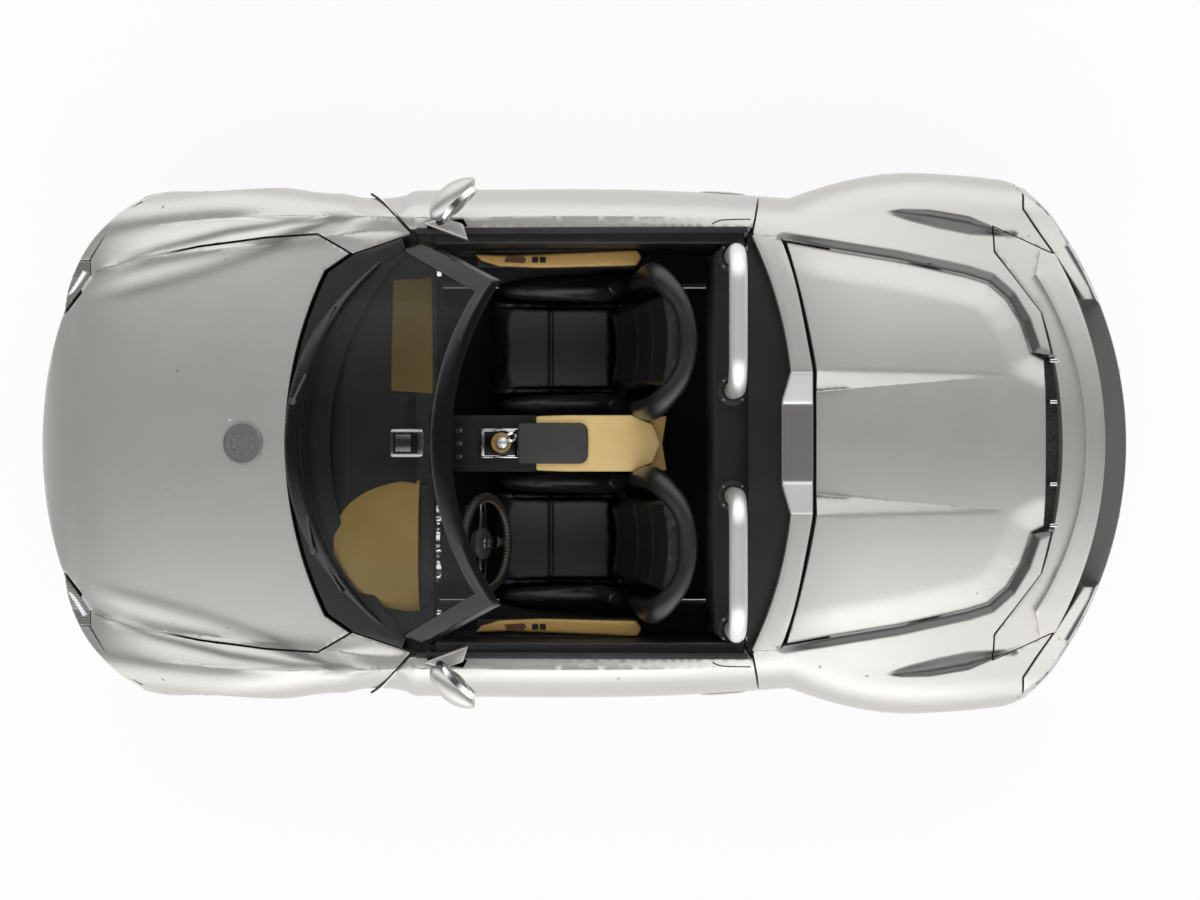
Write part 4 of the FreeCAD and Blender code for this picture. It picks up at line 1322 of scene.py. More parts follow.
def console():
    """Black console with a tan rear half and a grey armrest on it."""
    body = refined("console_body", "centre_console", longest=0.05, bevel=0.006, lay=False)
    finish(body, BLACK, nodes=["centre_console"])
    tan_outline = [(-0.166, -0.093), (-0.060, -0.097), (0.165, -0.097), (0.235, -0.066),
                   (0.262, 0), (0.235, 0.066), (0.165, 0.097), (-0.060, 0.097), (-0.166, 0.093)]
    tan = extruded("console_tan", tan_outline, 0.545, 0.600, bevel=0.007, segments=3)
    for vert in tan.data.vertices:
        if vert.co.z > 0.57:
            vert.co.z += 0.025 * max(0.0, vert.co.x + 0.1)
    finish(tan, TAN_HIDE)
    tail = extruded("console_tail", [(0.225, -0.088), (0.283, -0.094), (0.268, 0), (0.283, 0.094),
                                     (0.225, 0.088)], 0.520, 0.592, bevel=0.004)
    finish(tail, TAN_TRIM)
    rest_outline = [(-0.228, -0.070), (-0.030, -0.070)]
    for step in range(9):
        angle = math.radians(-90 + 22.5 * step)
        offset = 0.0 if abs(angle) < 0.01 else math.copysign(0.040, angle)
        rest_outline.append((-0.016 + 0.030 * math.cos(angle), offset + 0.030 * math.sin(angle)))
    rest_outline += [(-0.030, 0.070), (-0.228, 0.070)]
    rest = extruded("console_armrest", rest_outline, 0.585, 0.619, bevel=0.008, segments=3)
    finish(rest, DARK_GREY)


def gear_gate():
    """Bright frame round a dark tray, with the lever, its gaiter and the knob."""
    tray = block("gate_tray", (-0.350, -0.043, 0.536), (-0.228, 0.043, 0.545), 0.002)
    finish(tray, GLOSS_BLACK)
    bars = [block("gate_bar", (-0.358, -0.051, 0.538), (-0.346, 0.051, 0.551), 0.003),
            block("gate_bar", (-0.232, -0.051, 0.538), (-0.220, 0.051, 0.551), 0.003),
            block("gate_bar", (-0.358, -0.051, 0.538), (-0.220, -0.041, 0.551), 0.003),
            block("gate_bar", (-0.358, 0.041, 0.538), (-0.220, 0.051, 0.551), 0.003)]
    finish(join("gate_frame", bars), CHROME)
    gaiter = turned("lever_gaiter",
                    [(0.0, 0.0001), (0.0, 0.036), (0.006, 0.034), (0.010, 0.024), (0.018, 0.022),
                     (0.022, 0.014), (0.034, 0.010), (0.036, 0.0001)],
                    (-0.288, 0.002, 0.543), "Z", 40)
    finish(gaiter, TAN_TRIM)
    stick = rod("lever_stick", (-0.288, 0.002, 0.570), (-0.281, 0.002, 0.606), 0.006, sides=24)
    finish(stick, CHROME)
    knob = turned("lever_knob", [(0.596, 0.0001), (0.598, 0.014), (0.612, 0.021), (0.628, 0.020),
                                 (0.635, 0.012), (0.6365, 0.0001)], (-0.281, 0.002, 0.0), "Z", 40)
    finish(knob, POLISHED)
    cup = turned("gate_cap", [(0.0, 0.008), (0.006, 0.009), (0.008, 0.017), (0.0, 0.019)],
                 (-0.252, 0.022, 0.545), "Z", 32)
    finish(cup, CHROME)


def toggles():
    """Three small bright switches ahead of the gate."""
    for y in (-0.045, 0, 0.045):
        base = turned("toggle_base",
                      [(0.0, 0.0001), (0.0, 0.0115), (0.005, 0.0105), (0.006, 0.0001)],
                      (-0.437, y, 0.514), "Z", 24)
        finish(base, DARK_GREY)
        lever = rod("toggle_lever", (-0.437, y, 0.518), (-0.428, y, 0.540), 0.0035, 0.005, 16)
        finish(lever, CHROME)


console()
gear_gate()
toggles()

# %% [markdown]
# ## Solids that stay
# Pieces whose shape is right as packed keep it, and take their finish here.

# %% Finishes of the solids that stay
NODE_FINISHES = {
    "front_grille": NET, "side_sills": SILVER, "cabin_tub": CARPET, "rear_bulkhead": CARPET,
    "steering_column": BLACK, "luggage_tub": BLACK, "engine_block": CASTING,
    "front_subframe": CASTING, "rear_subframe": CASTING, "knuckle_left": CASTING,
    "knuckle_right": CASTING, "half_shaft_left": DULL_STEEL, "half_shaft_right": DULL_STEEL,
    "exhaust": DULL_STEEL,
}
for name, material in NODE_FINISHES.items():
    coat(bpy.data.objects[name], material)


# %% [markdown]
# ## Seats
# Each seat is a deep bucket: a soft middle, long side bolsters and a horseshoe roll round the top
# of the back. The pads are swollen as cloth filled with air, then seams are pressed into them.

# %% Soft pads
SEAT_VOXEL = 0.0055
SEAT_PRESSURE = 4.0
CLOTH_FRAMES = 20
CUSHION_HALF = 0.168
BACK_HALF = 0.155
BACK_FOOT_Z, BACK_HEIGHT = 0.395, 0.52
SHELL_COLUMNS, SHELL_ROWS = 24, 20


def plump(obj, cap):
    """Fill a closed form with air as cloth, with a limit on how far each point may move."""
    modify(obj, "REMESH", mode="VOXEL", voxel_size=SEAT_VOXEL)
    start = [vert.co.copy() for vert in obj.data.vertices]
    activate(obj)
    cloth = obj.modifiers.new("cloth", "CLOTH")
    cloth.settings.use_pressure = True
    cloth.settings.uniform_pressure_force = SEAT_PRESSURE
    cloth.settings.effector_weights.gravity = 0.0
    scene = bpy.context.scene
    for frame_number in range(1, CLOTH_FRAMES + 1):
        scene.frame_set(frame_number)
    graph = bpy.context.evaluated_depsgraph_get()
    swollen = obj.evaluated_get(graph).to_mesh()
    ends = [vert.co.copy() for vert in swollen.vertices]
    obj.evaluated_get(graph).to_mesh_clear()
    obj.modifiers.remove(cloth)
    scene.frame_set(1)
    for vert, first, last in zip(obj.data.vertices, start, ends):
        shift = last - first
        if shift.length > cap:
            shift *= cap / shift.length
        vert.co = first + shift
    modify(obj, "SMOOTH", factor=0.5, iterations=4)
    smooth(obj, 70)
    return obj


def press(obj, groove):
    """Sink points along seams: groove gives the depth and direction for a place."""
    for vert in obj.data.vertices:
        depth, direction = groove(vert.co)
        vert.co += direction * depth


def swept(name, stations, sides=28):
    """A closed roll through stations of (centre, half width, half height)."""
    shape = bmesh.new()
    rings = []
    across = None
    centres = [Vector(station[0]) for station in stations]
    for index, (centre, half_width, half_height) in enumerate(stations):
        ahead = centres[min(index + 1, len(centres) - 1)]
        behind = centres[max(index - 1, 0)]
        tangent = (ahead - behind).normalized()
        if across is None:
            across = tangent.cross(Vector((0, 0, 1)))
            if across.length < 0.2:
                across = tangent.cross(Vector((1, 0, 0)))
        across = (across - tangent * across.dot(tangent)).normalized()
        up = across.cross(tangent).normalized()
        ring = []
        for side in range(sides):
            angle = 2 * math.pi * side / sides
            offset = across * (half_width * math.cos(angle)) + up * (half_height * math.sin(angle))
            ring.append(shape.verts.new(centres[index] + offset))
        rings.append(ring)
    for a, b in zip(rings, rings[1:]):
        for side in range(sides):
            after = (side + 1) % sides
            shape.faces.new((a[side], a[after], b[after], b[side]))
    shape.faces.new(rings[0])
    shape.faces.new(reversed(rings[-1]))
    bmesh.ops.recalc_face_normals(shape, faces=shape.faces)
    obj = new_piece(name, shape)
    smooth(obj, 60)
    return obj


def eased(stations, count):
    """More stations on a smooth line through the given ones."""
    table = numpy.array([(*centre, width, height) for centre, width, height in stations])
    places = numpy.arange(len(table), dtype=float)
    bends = natural_slopes(places, table)
    result = []
    for spot in numpy.linspace(0, len(table) - 1, count):
        i = min(int(spot), len(table) - 2)
        b = spot - i
        a = 1 - b
        cubic = ((a ** 3 - a) * bends[i] + (b ** 3 - b) * bends[i + 1]) / 6
        row = a * table[i] + b * table[i + 1] + cubic
        result.append(((row[0], row[1], row[2]), row[3], row[4]))
    return result


def cushion_pad():
    """Seat middle with a rolled front edge."""
    pad = block("seat_pad", (-0.335, SEAT_Y - CUSHION_HALF, 0.300),
                (0.118, SEAT_Y + CUSHION_HALF, 0.392), 0.030, 3, cuts=14)
    for vert in pad.data.vertices:
        x, y, z = vert.co
        across = (y - SEAT_Y) / CUSHION_HALF
        slope = -0.10 * (x + 0.25)
        dish = -0.016 * (1 - across * across)
        front = -0.030 * max(0.0, (-0.27 - x) / 0.065) ** 2
        vert.co.z += (slope + dish + front) * (1 if z > 0.34 else 0.3)
    return plump(pad, 0.016)


def cushion_groove(place):
    """One seam across the seat, and one along each side of the middle panel."""
    if place.z < 0.33:
        return 0.0, Vector((0, 0, -1))
    cross = math.exp(-((place.x + 0.120) / 0.0065) ** 2)
    length = sum(math.exp(-((place.y - SEAT_Y - s * 0.146) / 0.006) ** 2) for s in (-1, 1))
    return 0.008 * max(cross, length), Vector((0, 0, -1))


def side_bolster(side):
    """Long roll beside the seat, rising into the wing of the back."""
    y = SEAT_Y + side * 0.208
    stations = [((-0.305, y - side * 0.004, 0.362), 0.010, 0.012),
                ((-0.285, y, 0.370), 0.027, 0.034),
                ((-0.230, y, 0.384), 0.033, 0.046),
                ((-0.100, y, 0.398), 0.035, 0.055),
                ((0.020, y, 0.412), 0.037, 0.062),
                ((0.095, y + side * 0.002, 0.440), 0.038, 0.070),
                ((0.140, y + side * 0.004, 0.490), 0.030, 0.060)]
    return plump(swept("seat_bolster", eased(stations, 40)), 0.008)


def back_pad():
    """Middle of the back, leaning rearwards, with a soft lumbar swell."""
    pad = block("back_pad", (0.0, SEAT_Y - BACK_HALF, BACK_FOOT_Z),
                (0.060, SEAT_Y + BACK_HALF, BACK_FOOT_Z + BACK_HEIGHT), 0.022, 3, cuts=16)
    for vert in pad.data.vertices:
        x, y, z = vert.co
        rise = (z - BACK_FOOT_Z) / BACK_HEIGHT
        across = (y - SEAT_Y) / BACK_HALF
        lean = 0.098 + 0.178 * rise
        lumbar = -0.018 * math.exp(-((rise - 0.25) / 0.2) ** 2)
        hollow = 0.020 * (1 - across * across)
        vert.co.x += lean + (lumbar + hollow) * (1 if x < 0.03 else 0)
        vert.co.y = SEAT_Y + (y - SEAT_Y) * (0.92 + 0.12 * rise)
    return plump(pad, 0.014)


def back_groove(place):
    """Sewn channels across the back pad."""
    rise = (place.z - BACK_FOOT_Z) / BACK_HEIGHT
    front = 0.098 + 0.178 * rise + 0.03
    if place.x > front:
        return 0.0, Vector((1, 0, 0))
    lines = max(math.exp(-((place.z - level) / 0.006) ** 2) for level in (0.52, 0.645, 0.77))
    return 0.007 * lines, Vector((1, 0, 0))


def horseshoe():
    """Roll that runs up both wings and round the top of the back."""
    half = [((0.172, 0.214, 0.430), 0.030, 0.024), ((0.188, 0.219, 0.560), 0.036, 0.028),
            ((0.206, 0.222, 0.700), 0.041, 0.030), ((0.225, 0.221, 0.820), 0.045, 0.032),
            ((0.250, 0.204, 0.888), 0.045, 0.034), ((0.282, 0.170, 0.920), 0.041, 0.032),
            ((0.314, 0.126, 0.936), 0.036, 0.030), ((0.336, 0.068, 0.944), 0.032, 0.028)]
    centre = [((0.344, SEAT_Y, 0.946), 0.032, 0.028)]
    right = [((x, SEAT_Y + y, z), width, height) for (x, y, z), width, height in half]
    left = [((x, SEAT_Y - y, z), width, height) for (x, y, z), width, height in reversed(half)]
    return plump(swept("seat_horseshoe", eased(right + centre + left, 110)), 0.008)


def back_shell():
    """Hard rear shell of the seat, wrapped round the wings."""
    rows = []
    for row in range(SHELL_ROWS + 1):
        rise = row / SHELL_ROWS
        z = 0.190 + 0.715 * rise
        half = 0.190 + 0.045 * min(1.0, max(0.0, (rise - 0.45) / 0.2))
        line = []
        for column in range(SHELL_COLUMNS + 1):
            across = -1 + 2 * column / SHELL_COLUMNS
            wrap = -0.105 * abs(across) ** 3.5
            x = (0.190 + 0.165 * rise + 0.010 * math.sin(math.pi * rise)
                 + wrap * (0.35 + 0.65 * rise))
            line.append((x, SEAT_Y + half * across, z))
        rows.append(line)
    obj = sheet("seat_shell", rows, 0.012, offset=0, flip=True)
    smooth(obj, 50)
    return obj


def seat_base():
    """Frame and rails under the seat."""
    rails = [block("seat_rail", (-0.270, SEAT_Y + dy - 0.018, 0.169),
                   (0.150, SEAT_Y + dy + 0.018, 0.196), 0.004)
             for dy in (-0.15, 0.15)]
    pan = block("seat_pan", (-0.315, SEAT_Y - 0.180, 0.196), (0.120, SEAT_Y + 0.180, 0.318),
                0.035, 4)
    return join("seat_rails", rails), pan


pad = cushion_pad()
press(pad, cushion_groove)
back = back_pad()
press(back, back_groove)
rails, pan = seat_base()
SEAT_PARTS = [
    # Columns: piece, material, padded fill or None, node it stands for, slot
    (pad, SEAT_HIDE, 0.7, "seat_cushions", "black_leather"),
    (side_bolster(-1), SEAT_HIDE, 0.9, "seat_cushions", "black_leather"),
    (side_bolster(1), SEAT_HIDE, 0.9, "seat_cushions", "black_leather"),
    (back, SEAT_HIDE, 0.7, "seat_backs", "black_leather"),
    (horseshoe(), SEAT_HIDE, 0.9, "seat_backs", "black_leather"),
    (back_shell(), BLACK, None, "seat_backs", "black_plastic"),
    (pan, BLACK, None, "seat_cushions", "black_plastic"),
    (rails, DULL_STEEL, None, "seat_cushions", "cast_alloy"),
]
for piece, material, fill, node, slot in SEAT_PARTS:
    twin = mirrored(piece, piece.name + "_left")
    piece.name = piece.name + "_right"
    for part in (piece, twin):
        finish(part, material, nodes=[node])


# %% [markdown]
# ## Windscreen, wipers and mirrors

# %% Windscreen surround


def windscreen():
    """Smooth black surround and clear glass."""
    surround = refined("screen_surround", "windscreen_frame", 0.030, 0.006, lay=False)
    finish(surround, GLOSS_BLACK, nodes=["windscreen_frame"])
    glass = refined("screen_glass", "windscreen_glass", 0.030, 0.001, lay=False)
    finish(glass, SCREEN, nodes=["windscreen_glass"])
    cowl = refined("cowl_skin", "cowl_panel", 0.030, 0.003)
    finish(cowl, TRIM_BLACK, nodes=["cowl_panel"])


def on_body(x, y, lift=0.0):
    """A place on the body's upper side, or a little over it."""
    return Vector((x, y, FORM.top(x, y) + lift))


def on_skin(skin, start, aim):
    """Where a straight line from start meets a piece, and the way the surface faces there."""
    start, aim = Vector(start), Vector(aim).normalized()
    met, place, normal, _ = skin.ray_cast(start, aim)
    if not met:
        raise RuntimeError("the line misses " + skin.name)
    return place, normal


def settle(piece, place, normal):
    """Stand a piece that was made facing up at the origin on a surface."""
    turn = Vector(normal).to_track_quat("Z", "Y").to_matrix().to_4x4()
    piece.matrix_world = Matrix.Translation(place) @ turn
    apply_place(piece)
    return piece


# Columns: pivot y, where the blade starts, where it ends
WIPERS = [(-0.36, -0.50, 0.02), (0.14, 0.00, 0.46)]
WIPER_STEPS = 12


def cowl_x(y, behind):
    """x at a distance behind the cowl's curved front edge."""
    return -1.014 + 0.1825 * (y / 0.55) ** 2 + behind


def wipers():
    """Two arms with blades, parked on the black cowl below the glass."""
    for index, (pivot_y, blade_from, blade_to) in enumerate(WIPERS):
        pivot = on_body(cowl_x(pivot_y, 0.030), pivot_y, 0.004)
        cap = rod("wiper_pivot", pivot, pivot + Vector((0, 0, 0.016)), 0.014, 0.011, 28, 0.002)
        middle_y = (blade_from + blade_to) / 2
        grip = on_body(cowl_x(middle_y, 0.055), middle_y, 0.024)
        elbow_y = pivot_y * 0.6 + middle_y * 0.4
        elbow = on_body(cowl_x(elbow_y, 0.040), elbow_y, 0.026)
        arm = tube("wiper_arm", [pivot + Vector((0, 0, 0.012)), elbow, grip], 0.0050, 4)
        line = []
        for step in range(WIPER_STEPS + 1):
            y = blade_from + (blade_to - blade_from) * step / WIPER_STEPS
            line.append(on_body(cowl_x(y, 0.055), y, 0.016))
        spine = tube("wiper_spine", line, 0.0040, 4)
        edge = tube("wiper_edge", [p - Vector((0, 0, 0.007)) for p in line], 0.0022, 3)
        whole = join("wiper_%d" % index, [cap, arm, spine])
        finish(whole, DARK_GREY)
        finish(edge, RUBBER)


def gap_shade_sheets():
    """Black sheets under the shut lines, painted shade for the gaps, which show as black lines from
    above.
    """
    for name, x0, x1, half, drop in (("cowl_liner", -1.030, -0.560, 0.700, 0.052),
                                     ("rear_liner", 0.545, 0.820, 0.697, 0.075),
                                     ("nose_liner", -1.800, -1.620, 0.520, 0.060)):
        rows = []
        for i in range(13):
            x = x0 + (x1 - x0) * i / 12
            rows.append([on_body(x, half * (-1 + 2 * j / 24), -drop) for j in range(25)])
        gap_shade_sheet = sheet(name, rows, 0.004)
        smooth(gap_shade_sheet)
        finish(gap_shade_sheet, TRIM_BLACK)


def seams():
    """Soft seals inside the door gaps, and the fine seam from each lamp along the wing."""
    for side, name in SIDES:
        gap_line = [on_body(x, side * y, -0.020) for x, y in
                    ((-0.5755, 0.698), (-0.612, 0.739), (-0.650, 0.781), (-0.690, 0.8245),
                     (-0.725, 0.850))]
        seal = tube("door_gap_seal_" + name, gap_line, 0.0042, 4)
        finish(seal, RUBBER)
        seam_line = [on_body(x, side * y, 0.0004) for x, y in
                     ((-1.704, 0.628), (-1.678, 0.664), (-1.618, 0.742), (-1.557, 0.796),
                      (-1.510, 0.826))]
        seam = tube("wing_seam_" + name, seam_line, 0.0022, 4)
        finish(seam, RUBBER)
        groove_line = [on_body(x, side * y, 0.0004) for x, y in
                       ((0.425, 0.724), (0.440, 0.734), (0.470, 0.739), (0.552, 0.740))]
        groove = tube("door_groove_" + name, groove_line, 0.0020, 4)
        finish(groove, RUBBER, "door_" + name)


def inner_mirror():
    """Rear view mirror on the header, and its stem."""
    stem = tube("inner_mirror_stem", [(-0.475, 0, 1.135), (-0.490, 0, 1.118), (-0.488, 0, 1.100)],
                0.006)
    head = block("inner_mirror_head", (-0.012, -0.105, -0.028), (0.012, 0.105, 0.028), 0.010, 4,
                 cuts=3)
    face = block("inner_mirror_face", (0.0115, -0.098, -0.022), (0.0135, 0.098, 0.022), 0.0008)
    for piece in (head, face):
        piece.location = (-0.482, 0, 1.085)
        piece.rotation_euler = (0, math.radians(6), 0)
        apply_place(piece)
    finish(stem, BLACK)
    finish(head, TRIM_BLACK)
    finish(face, MIRROR_GLASS)


def door_mirror(side, name):
    """Leaf-shaped head on a triangular foot, with a bright rim round its glass."""
    body = "door_" + name
    foot_outline = [(-0.532, 0.726), (-0.462, 0.742), (-0.398, 0.722), (-0.380, 0.668),
                    (-0.440, 0.690)]
    foot = extruded("mirror_foot", foot_outline, 0.838, 0.872, bevel=0.006, segments=3)
    for vert in foot.data.vertices:
        vert.co.z += 0.016 * ease((vert.co.x + 0.54) / 0.10) * (1 if vert.co.z > 0.86 else 0)
    stalk = swept("mirror_stalk",
                  [((-0.468, 0.722, 0.868), 0.022, 0.014), ((-0.470, 0.742, 0.890), 0.017, 0.012),
                   ((-0.474, 0.762, 0.915), 0.022, 0.016)], 24)
    head_line = [((-0.497, 0.733, 0.930), 0.006, 0.010), ((-0.484, 0.746, 0.932), 0.026, 0.034),
                 ((-0.462, 0.768, 0.934), 0.040, 0.048), ((-0.430, 0.798, 0.937), 0.046, 0.052),
                 ((-0.398, 0.828, 0.940), 0.038, 0.044), ((-0.370, 0.852, 0.943), 0.020, 0.026),
                 ((-0.358, 0.863, 0.945), 0.005, 0.008)]
    head = swept("mirror_head", eased(head_line, 40), 32)
    facing = Vector((0.130, -0.139, 0)).normalized()
    centre = Vector((-0.424, 0.799, 0.937)) + facing * 0.030
    turn = Matrix.Translation(centre) @ facing.to_track_quat("Z", "Y").to_matrix().to_4x4()
    rim = turned("mirror_rim",
                 [(-0.016, 0.92), (0.000, 0.90), (0.004, 0.96), (0.002, 1.0), (-0.016, 1.0)],
                 (0, 0, 0), "Z", 64)
    pane = turned("mirror_pane",
                  [(-0.006, 0.0001), (-0.006, 0.93), (0.0005, 0.93), (0.0005, 0.0001)],
                  (0, 0, 0), "Z", 64)
    for piece in (rim, pane):
        for vert in piece.data.vertices:
            vert.co.x *= 0.078
            vert.co.y *= 0.050
        piece.matrix_world = turn
        apply_place(piece)
    parts = [(foot, SILVER, "silver_paint"), (stalk, TRIM_BLACK, "black_plastic"),
             (head, SILVER, "silver_paint"), (rim, CHROME, "polished_steel"),
             (pane, MIRROR_GLASS, "polished_steel")]
    for piece, material, slot in parts:
        if side < 0:
            other = mirrored(piece, piece.name + "_left")
            bpy.data.objects.remove(piece)
            piece = other
        finish(piece, material, body)


windscreen()
wipers()
gap_shade_sheets()
seams()
inner_mirror()
for side, name in SIDES:
    door_mirror(side, name)

# %% [markdown]
# ## Nose: lamps, badge and marker lamps

# %% Nose details


def badge():
    """Plain round emblem of rings, on the bonnet."""
    centre = on_body(-1.149, 0.0, 0.0)
    tilt = FORM.normal(-1.149, 0.0).to_track_quat("Z", "Y").to_matrix().to_4x4()
    place = Matrix.Translation(centre) @ tilt
    disc = turned("badge_disc",
                  [(-0.002, 0.0001), (-0.002, 0.066), (0.0035, 0.066), (0.0045, 0.0001)],
                  (0, 0, 0), "Z", 64)
    rings = [turned("badge_ring",
                    [(0.002, r - w), (0.0065, r - w * 0.6), (0.0065, r + w * 0.6), (0.002, r + w)],
                    (0, 0, 0), "Z", 64)
             for r, w in ((0.0665, 0.0040), (0.0435, 0.0026), (0.0230, 0.0030))]
    bars = []
    for index in range(8):
        bar = block("badge_bar", (0.026, -0.0016, 0.002), (0.041, 0.0016, 0.006), 0.0006)
        bar.rotation_euler = (0, 0, math.radians(45 * index + 22.5))
        apply_place(bar)
        bars.append(bar)
    bright = join("badge_rings", rings + bars)
    for piece, material, slot in ((disc, COVER_GREY, "black_plastic"),
                                  (bright, DULL_STEEL, "polished_steel")):
        piece.matrix_world = place
        apply_place(piece)
        finish(piece, material, "bonnet")


def lamp_ring(name, radius, deep):
    """A bright or dark rim round one lamp, facing up at the origin."""
    return turned(name, [(-deep, radius - 0.004), (-0.001, radius - 0.003), (0.0005, radius),
                         (-deep, radius + 0.003)], (0, 0, 0), "Z", 40)


def head_lamps():
    """Clear-fronted corner lamps: a dark shell, two round units and a white bar behind."""
    shell = refined("lamp_shell", "headlamps", 0.020, 0.004)
    finish(shell, HEADLAMP, nodes=["headlamps"])
    for side, name in SIDES:
        bar_points = [on_body(x, side * y, 0.0035) for x, y in
                      ((-1.722, 0.592), (-1.745, 0.560), (-1.770, 0.527), (-1.790, 0.500))]
        bar = tube("lamp_bar_" + name, bar_points, 0.0075, 6)
        finish(bar, LAMP_BAR)
        for y, radius in ((0.585, 0.026), (0.522, 0.020)):
            place, normal = on_skin(shell, (-2.2, side * y, 0.515), (1, 0, 0))
            ring = lamp_ring("lamp_ring", radius, 0.010)
            lens_piece = turned("lamp_lens",
                                [(-0.010, 0.0001), (-0.010, radius - 0.003),
                                 (-0.004, radius * 0.75), (0.000, radius * 0.4),
                                 (0.0008, 0.0001)], (0, 0, 0), "Z", 40)
            finish(settle(ring, place, normal), CHROME)
            finish(settle(lens_piece, place, normal), LAMP_BAR)


def marker(name, skin, start, aim, half_long, half_high, material=AMBER):
    """Small flush marker lamp or reflector on a body panel."""
    place, normal = on_skin(skin, start, aim)
    piece = block(name, (-half_long, -half_high, -0.004), (half_long, half_high, 0.003), 0.0025, 3)
    finish(settle(piece, place, normal), material)


badge()
head_lamps()
marker("nose_marker", skins["front_bumper"], (-2.5, 0, 0.430), (1, 0, 0), 0.020, 0.006)
for side in (-1, 1):
    marker("side_marker", skins["front_bumper"], (-1.575, side * 2, 0.400), (0, -side, 0),
           0.030, 0.010)

# %% [markdown]
# ## Rear: hoops, arch, slot and lamps

# %% Rear details


def hoops():
    """Polished hoops, each on two feet with four bolts."""
    bars = refined("hoop_bars", "roll_hoops", 0.03, 0, lay=False)
    finish(bars, POLISHED, nodes=["roll_hoops"])
    for side in (-1, 1):
        for y in (0.176, 0.620):
            foot = turned("hoop_foot",
                          [(0, 0.0305), (0, 0.052), (0.006, 0.052), (0.010, 0.036),
                           (0.026, 0.0315)], (0.497, side * y, 0.800), "Z", 48)
            finish(foot, BLACK)
            bolts = []
            for angle in (0.8, 2.35, 3.93, 5.5):
                across, ahead = side * y + 0.044 * math.sin(angle), 0.497 + 0.044 * math.cos(angle)
                bolts.append(rod("hoop_bolt", (ahead, across, 0.8055), (ahead, across, 0.8105),
                                 0.0045, sides=6))
            finish(join("hoop_bolts", bolts), DULL_STEEL)


def arch_block():
    """Grey latch cover in the middle of the arch, between two facets in a lighter copy of the
    silver paint, a painted highlight.
    """
    for low, high, material, slot, lift in ((-0.123, 0.123, COVER_GREY, "black_plastic", 0.003),
                                            (-0.232, -0.127, SILVER_PAINTED_HIGHLIGHT, "silver_paint", 0.0),
                                            (0.127, 0.232, SILVER_PAINTED_HIGHLIGHT, "silver_paint", 0.0)):
        rows = []
        for i in range(9):
            line = []
            for j in range(9):
                y = low + (high - low) * j / 8
                front = 0.652 + max(0.0, abs(y) - 0.137) * 0.29
                x = front + (0.748 - front) * i / 8
                facet = 0.014 * (abs(y) - 0.127) / 0.105 if lift == 0.0 else 0.0
                line.append(on_body(x, y, lift + 0.001 + max(0.0, facet)))
            rows.append(line)
        cover = sheet("arch_cover", rows, 0.018)
        modify(cover, "BEVEL", width=0.0015, segments=2, limit_method="ANGLE")
        smooth(cover)
        finish(cover, material)


def tail_slot():
    """Black mesh in the slot ahead of the tail band, with small bright clips."""
    net_sheet = block("slot_net", (1.500, -0.285, 0.800), (1.600, 0.285, 0.812), 0.002)
    finish(net_sheet, NET)
    for y in (-0.272, -0.136, 0.136, 0.272):
        clip = block("slot_clip", (1.540, y - 0.006, 0.812), (1.566, y + 0.006, 0.868), 0.003)
        finish(clip, CHROME)


# Lower edge of the painted cap on the tail lamps: half width, z
CAP_LINE = [(0.46, 0.800), (0.60, 0.778), (0.72, 0.754), (0.80, 0.738), (0.84, 0.720),
            (0.88, 0.640)]


def tail_lights():
    """Dark lamps under a painted cap, each with three round units."""
    lens_skin = refined("tail_lens", "tail_lamps", 0.012, 0.004)
    caps = []
    for vert in lens_skin.data.vertices:
        x, y, z = vert.co
        over = ease((along(SHADE_STRIP_EDGE, abs(y)) + 0.010 * (abs(y) > 0.66) - x) / 0.010 + 0.5)
        corner = ease((abs(y) - 0.66) / 0.02)
        caps.append(max(over, corner) * ease((z - along(CAP_LINE, abs(y))) / 0.016 + 0.5))
    lens_skin.data.attributes.new("cap", "FLOAT", "POINT").data.foreach_set("value", caps)
    finish(lens_skin, TAIL_LENS, nodes=["tail_lamps"])
    for side in (-1, 1):
        for y, radius in ((0.800, 0.030), (0.705, 0.030), (0.610, 0.026)):
            place, normal = on_skin(lens_skin, (2.5, side * y, 0.652), (-1, 0, 0))
            ring = lamp_ring("tail_ring", radius, 0.012)
            glow = turned("tail_unit",
                          [(-0.012, 0.0001), (-0.012, radius - 0.003), (-0.001, radius * 0.8),
                           (0.0005, 0.0001)], (0, 0, 0), "Z", 40)
            finish(settle(ring, place, normal), DARK_GREY)
            finish(settle(glow, place, normal), RED_LENS)


RED_LENS = lens("lamp_red", (0.30, 0.008, 0.008))
hoops()
arch_block()
tail_slot()
tail_lights()
marker("tail_marker", skins["rear_bumper"], (2.5, 0, 0.350), (-1, 0, 0), 0.020, 0.006)

# %% [markdown]
# ## Doors, wheels and underside

# %% Door linings


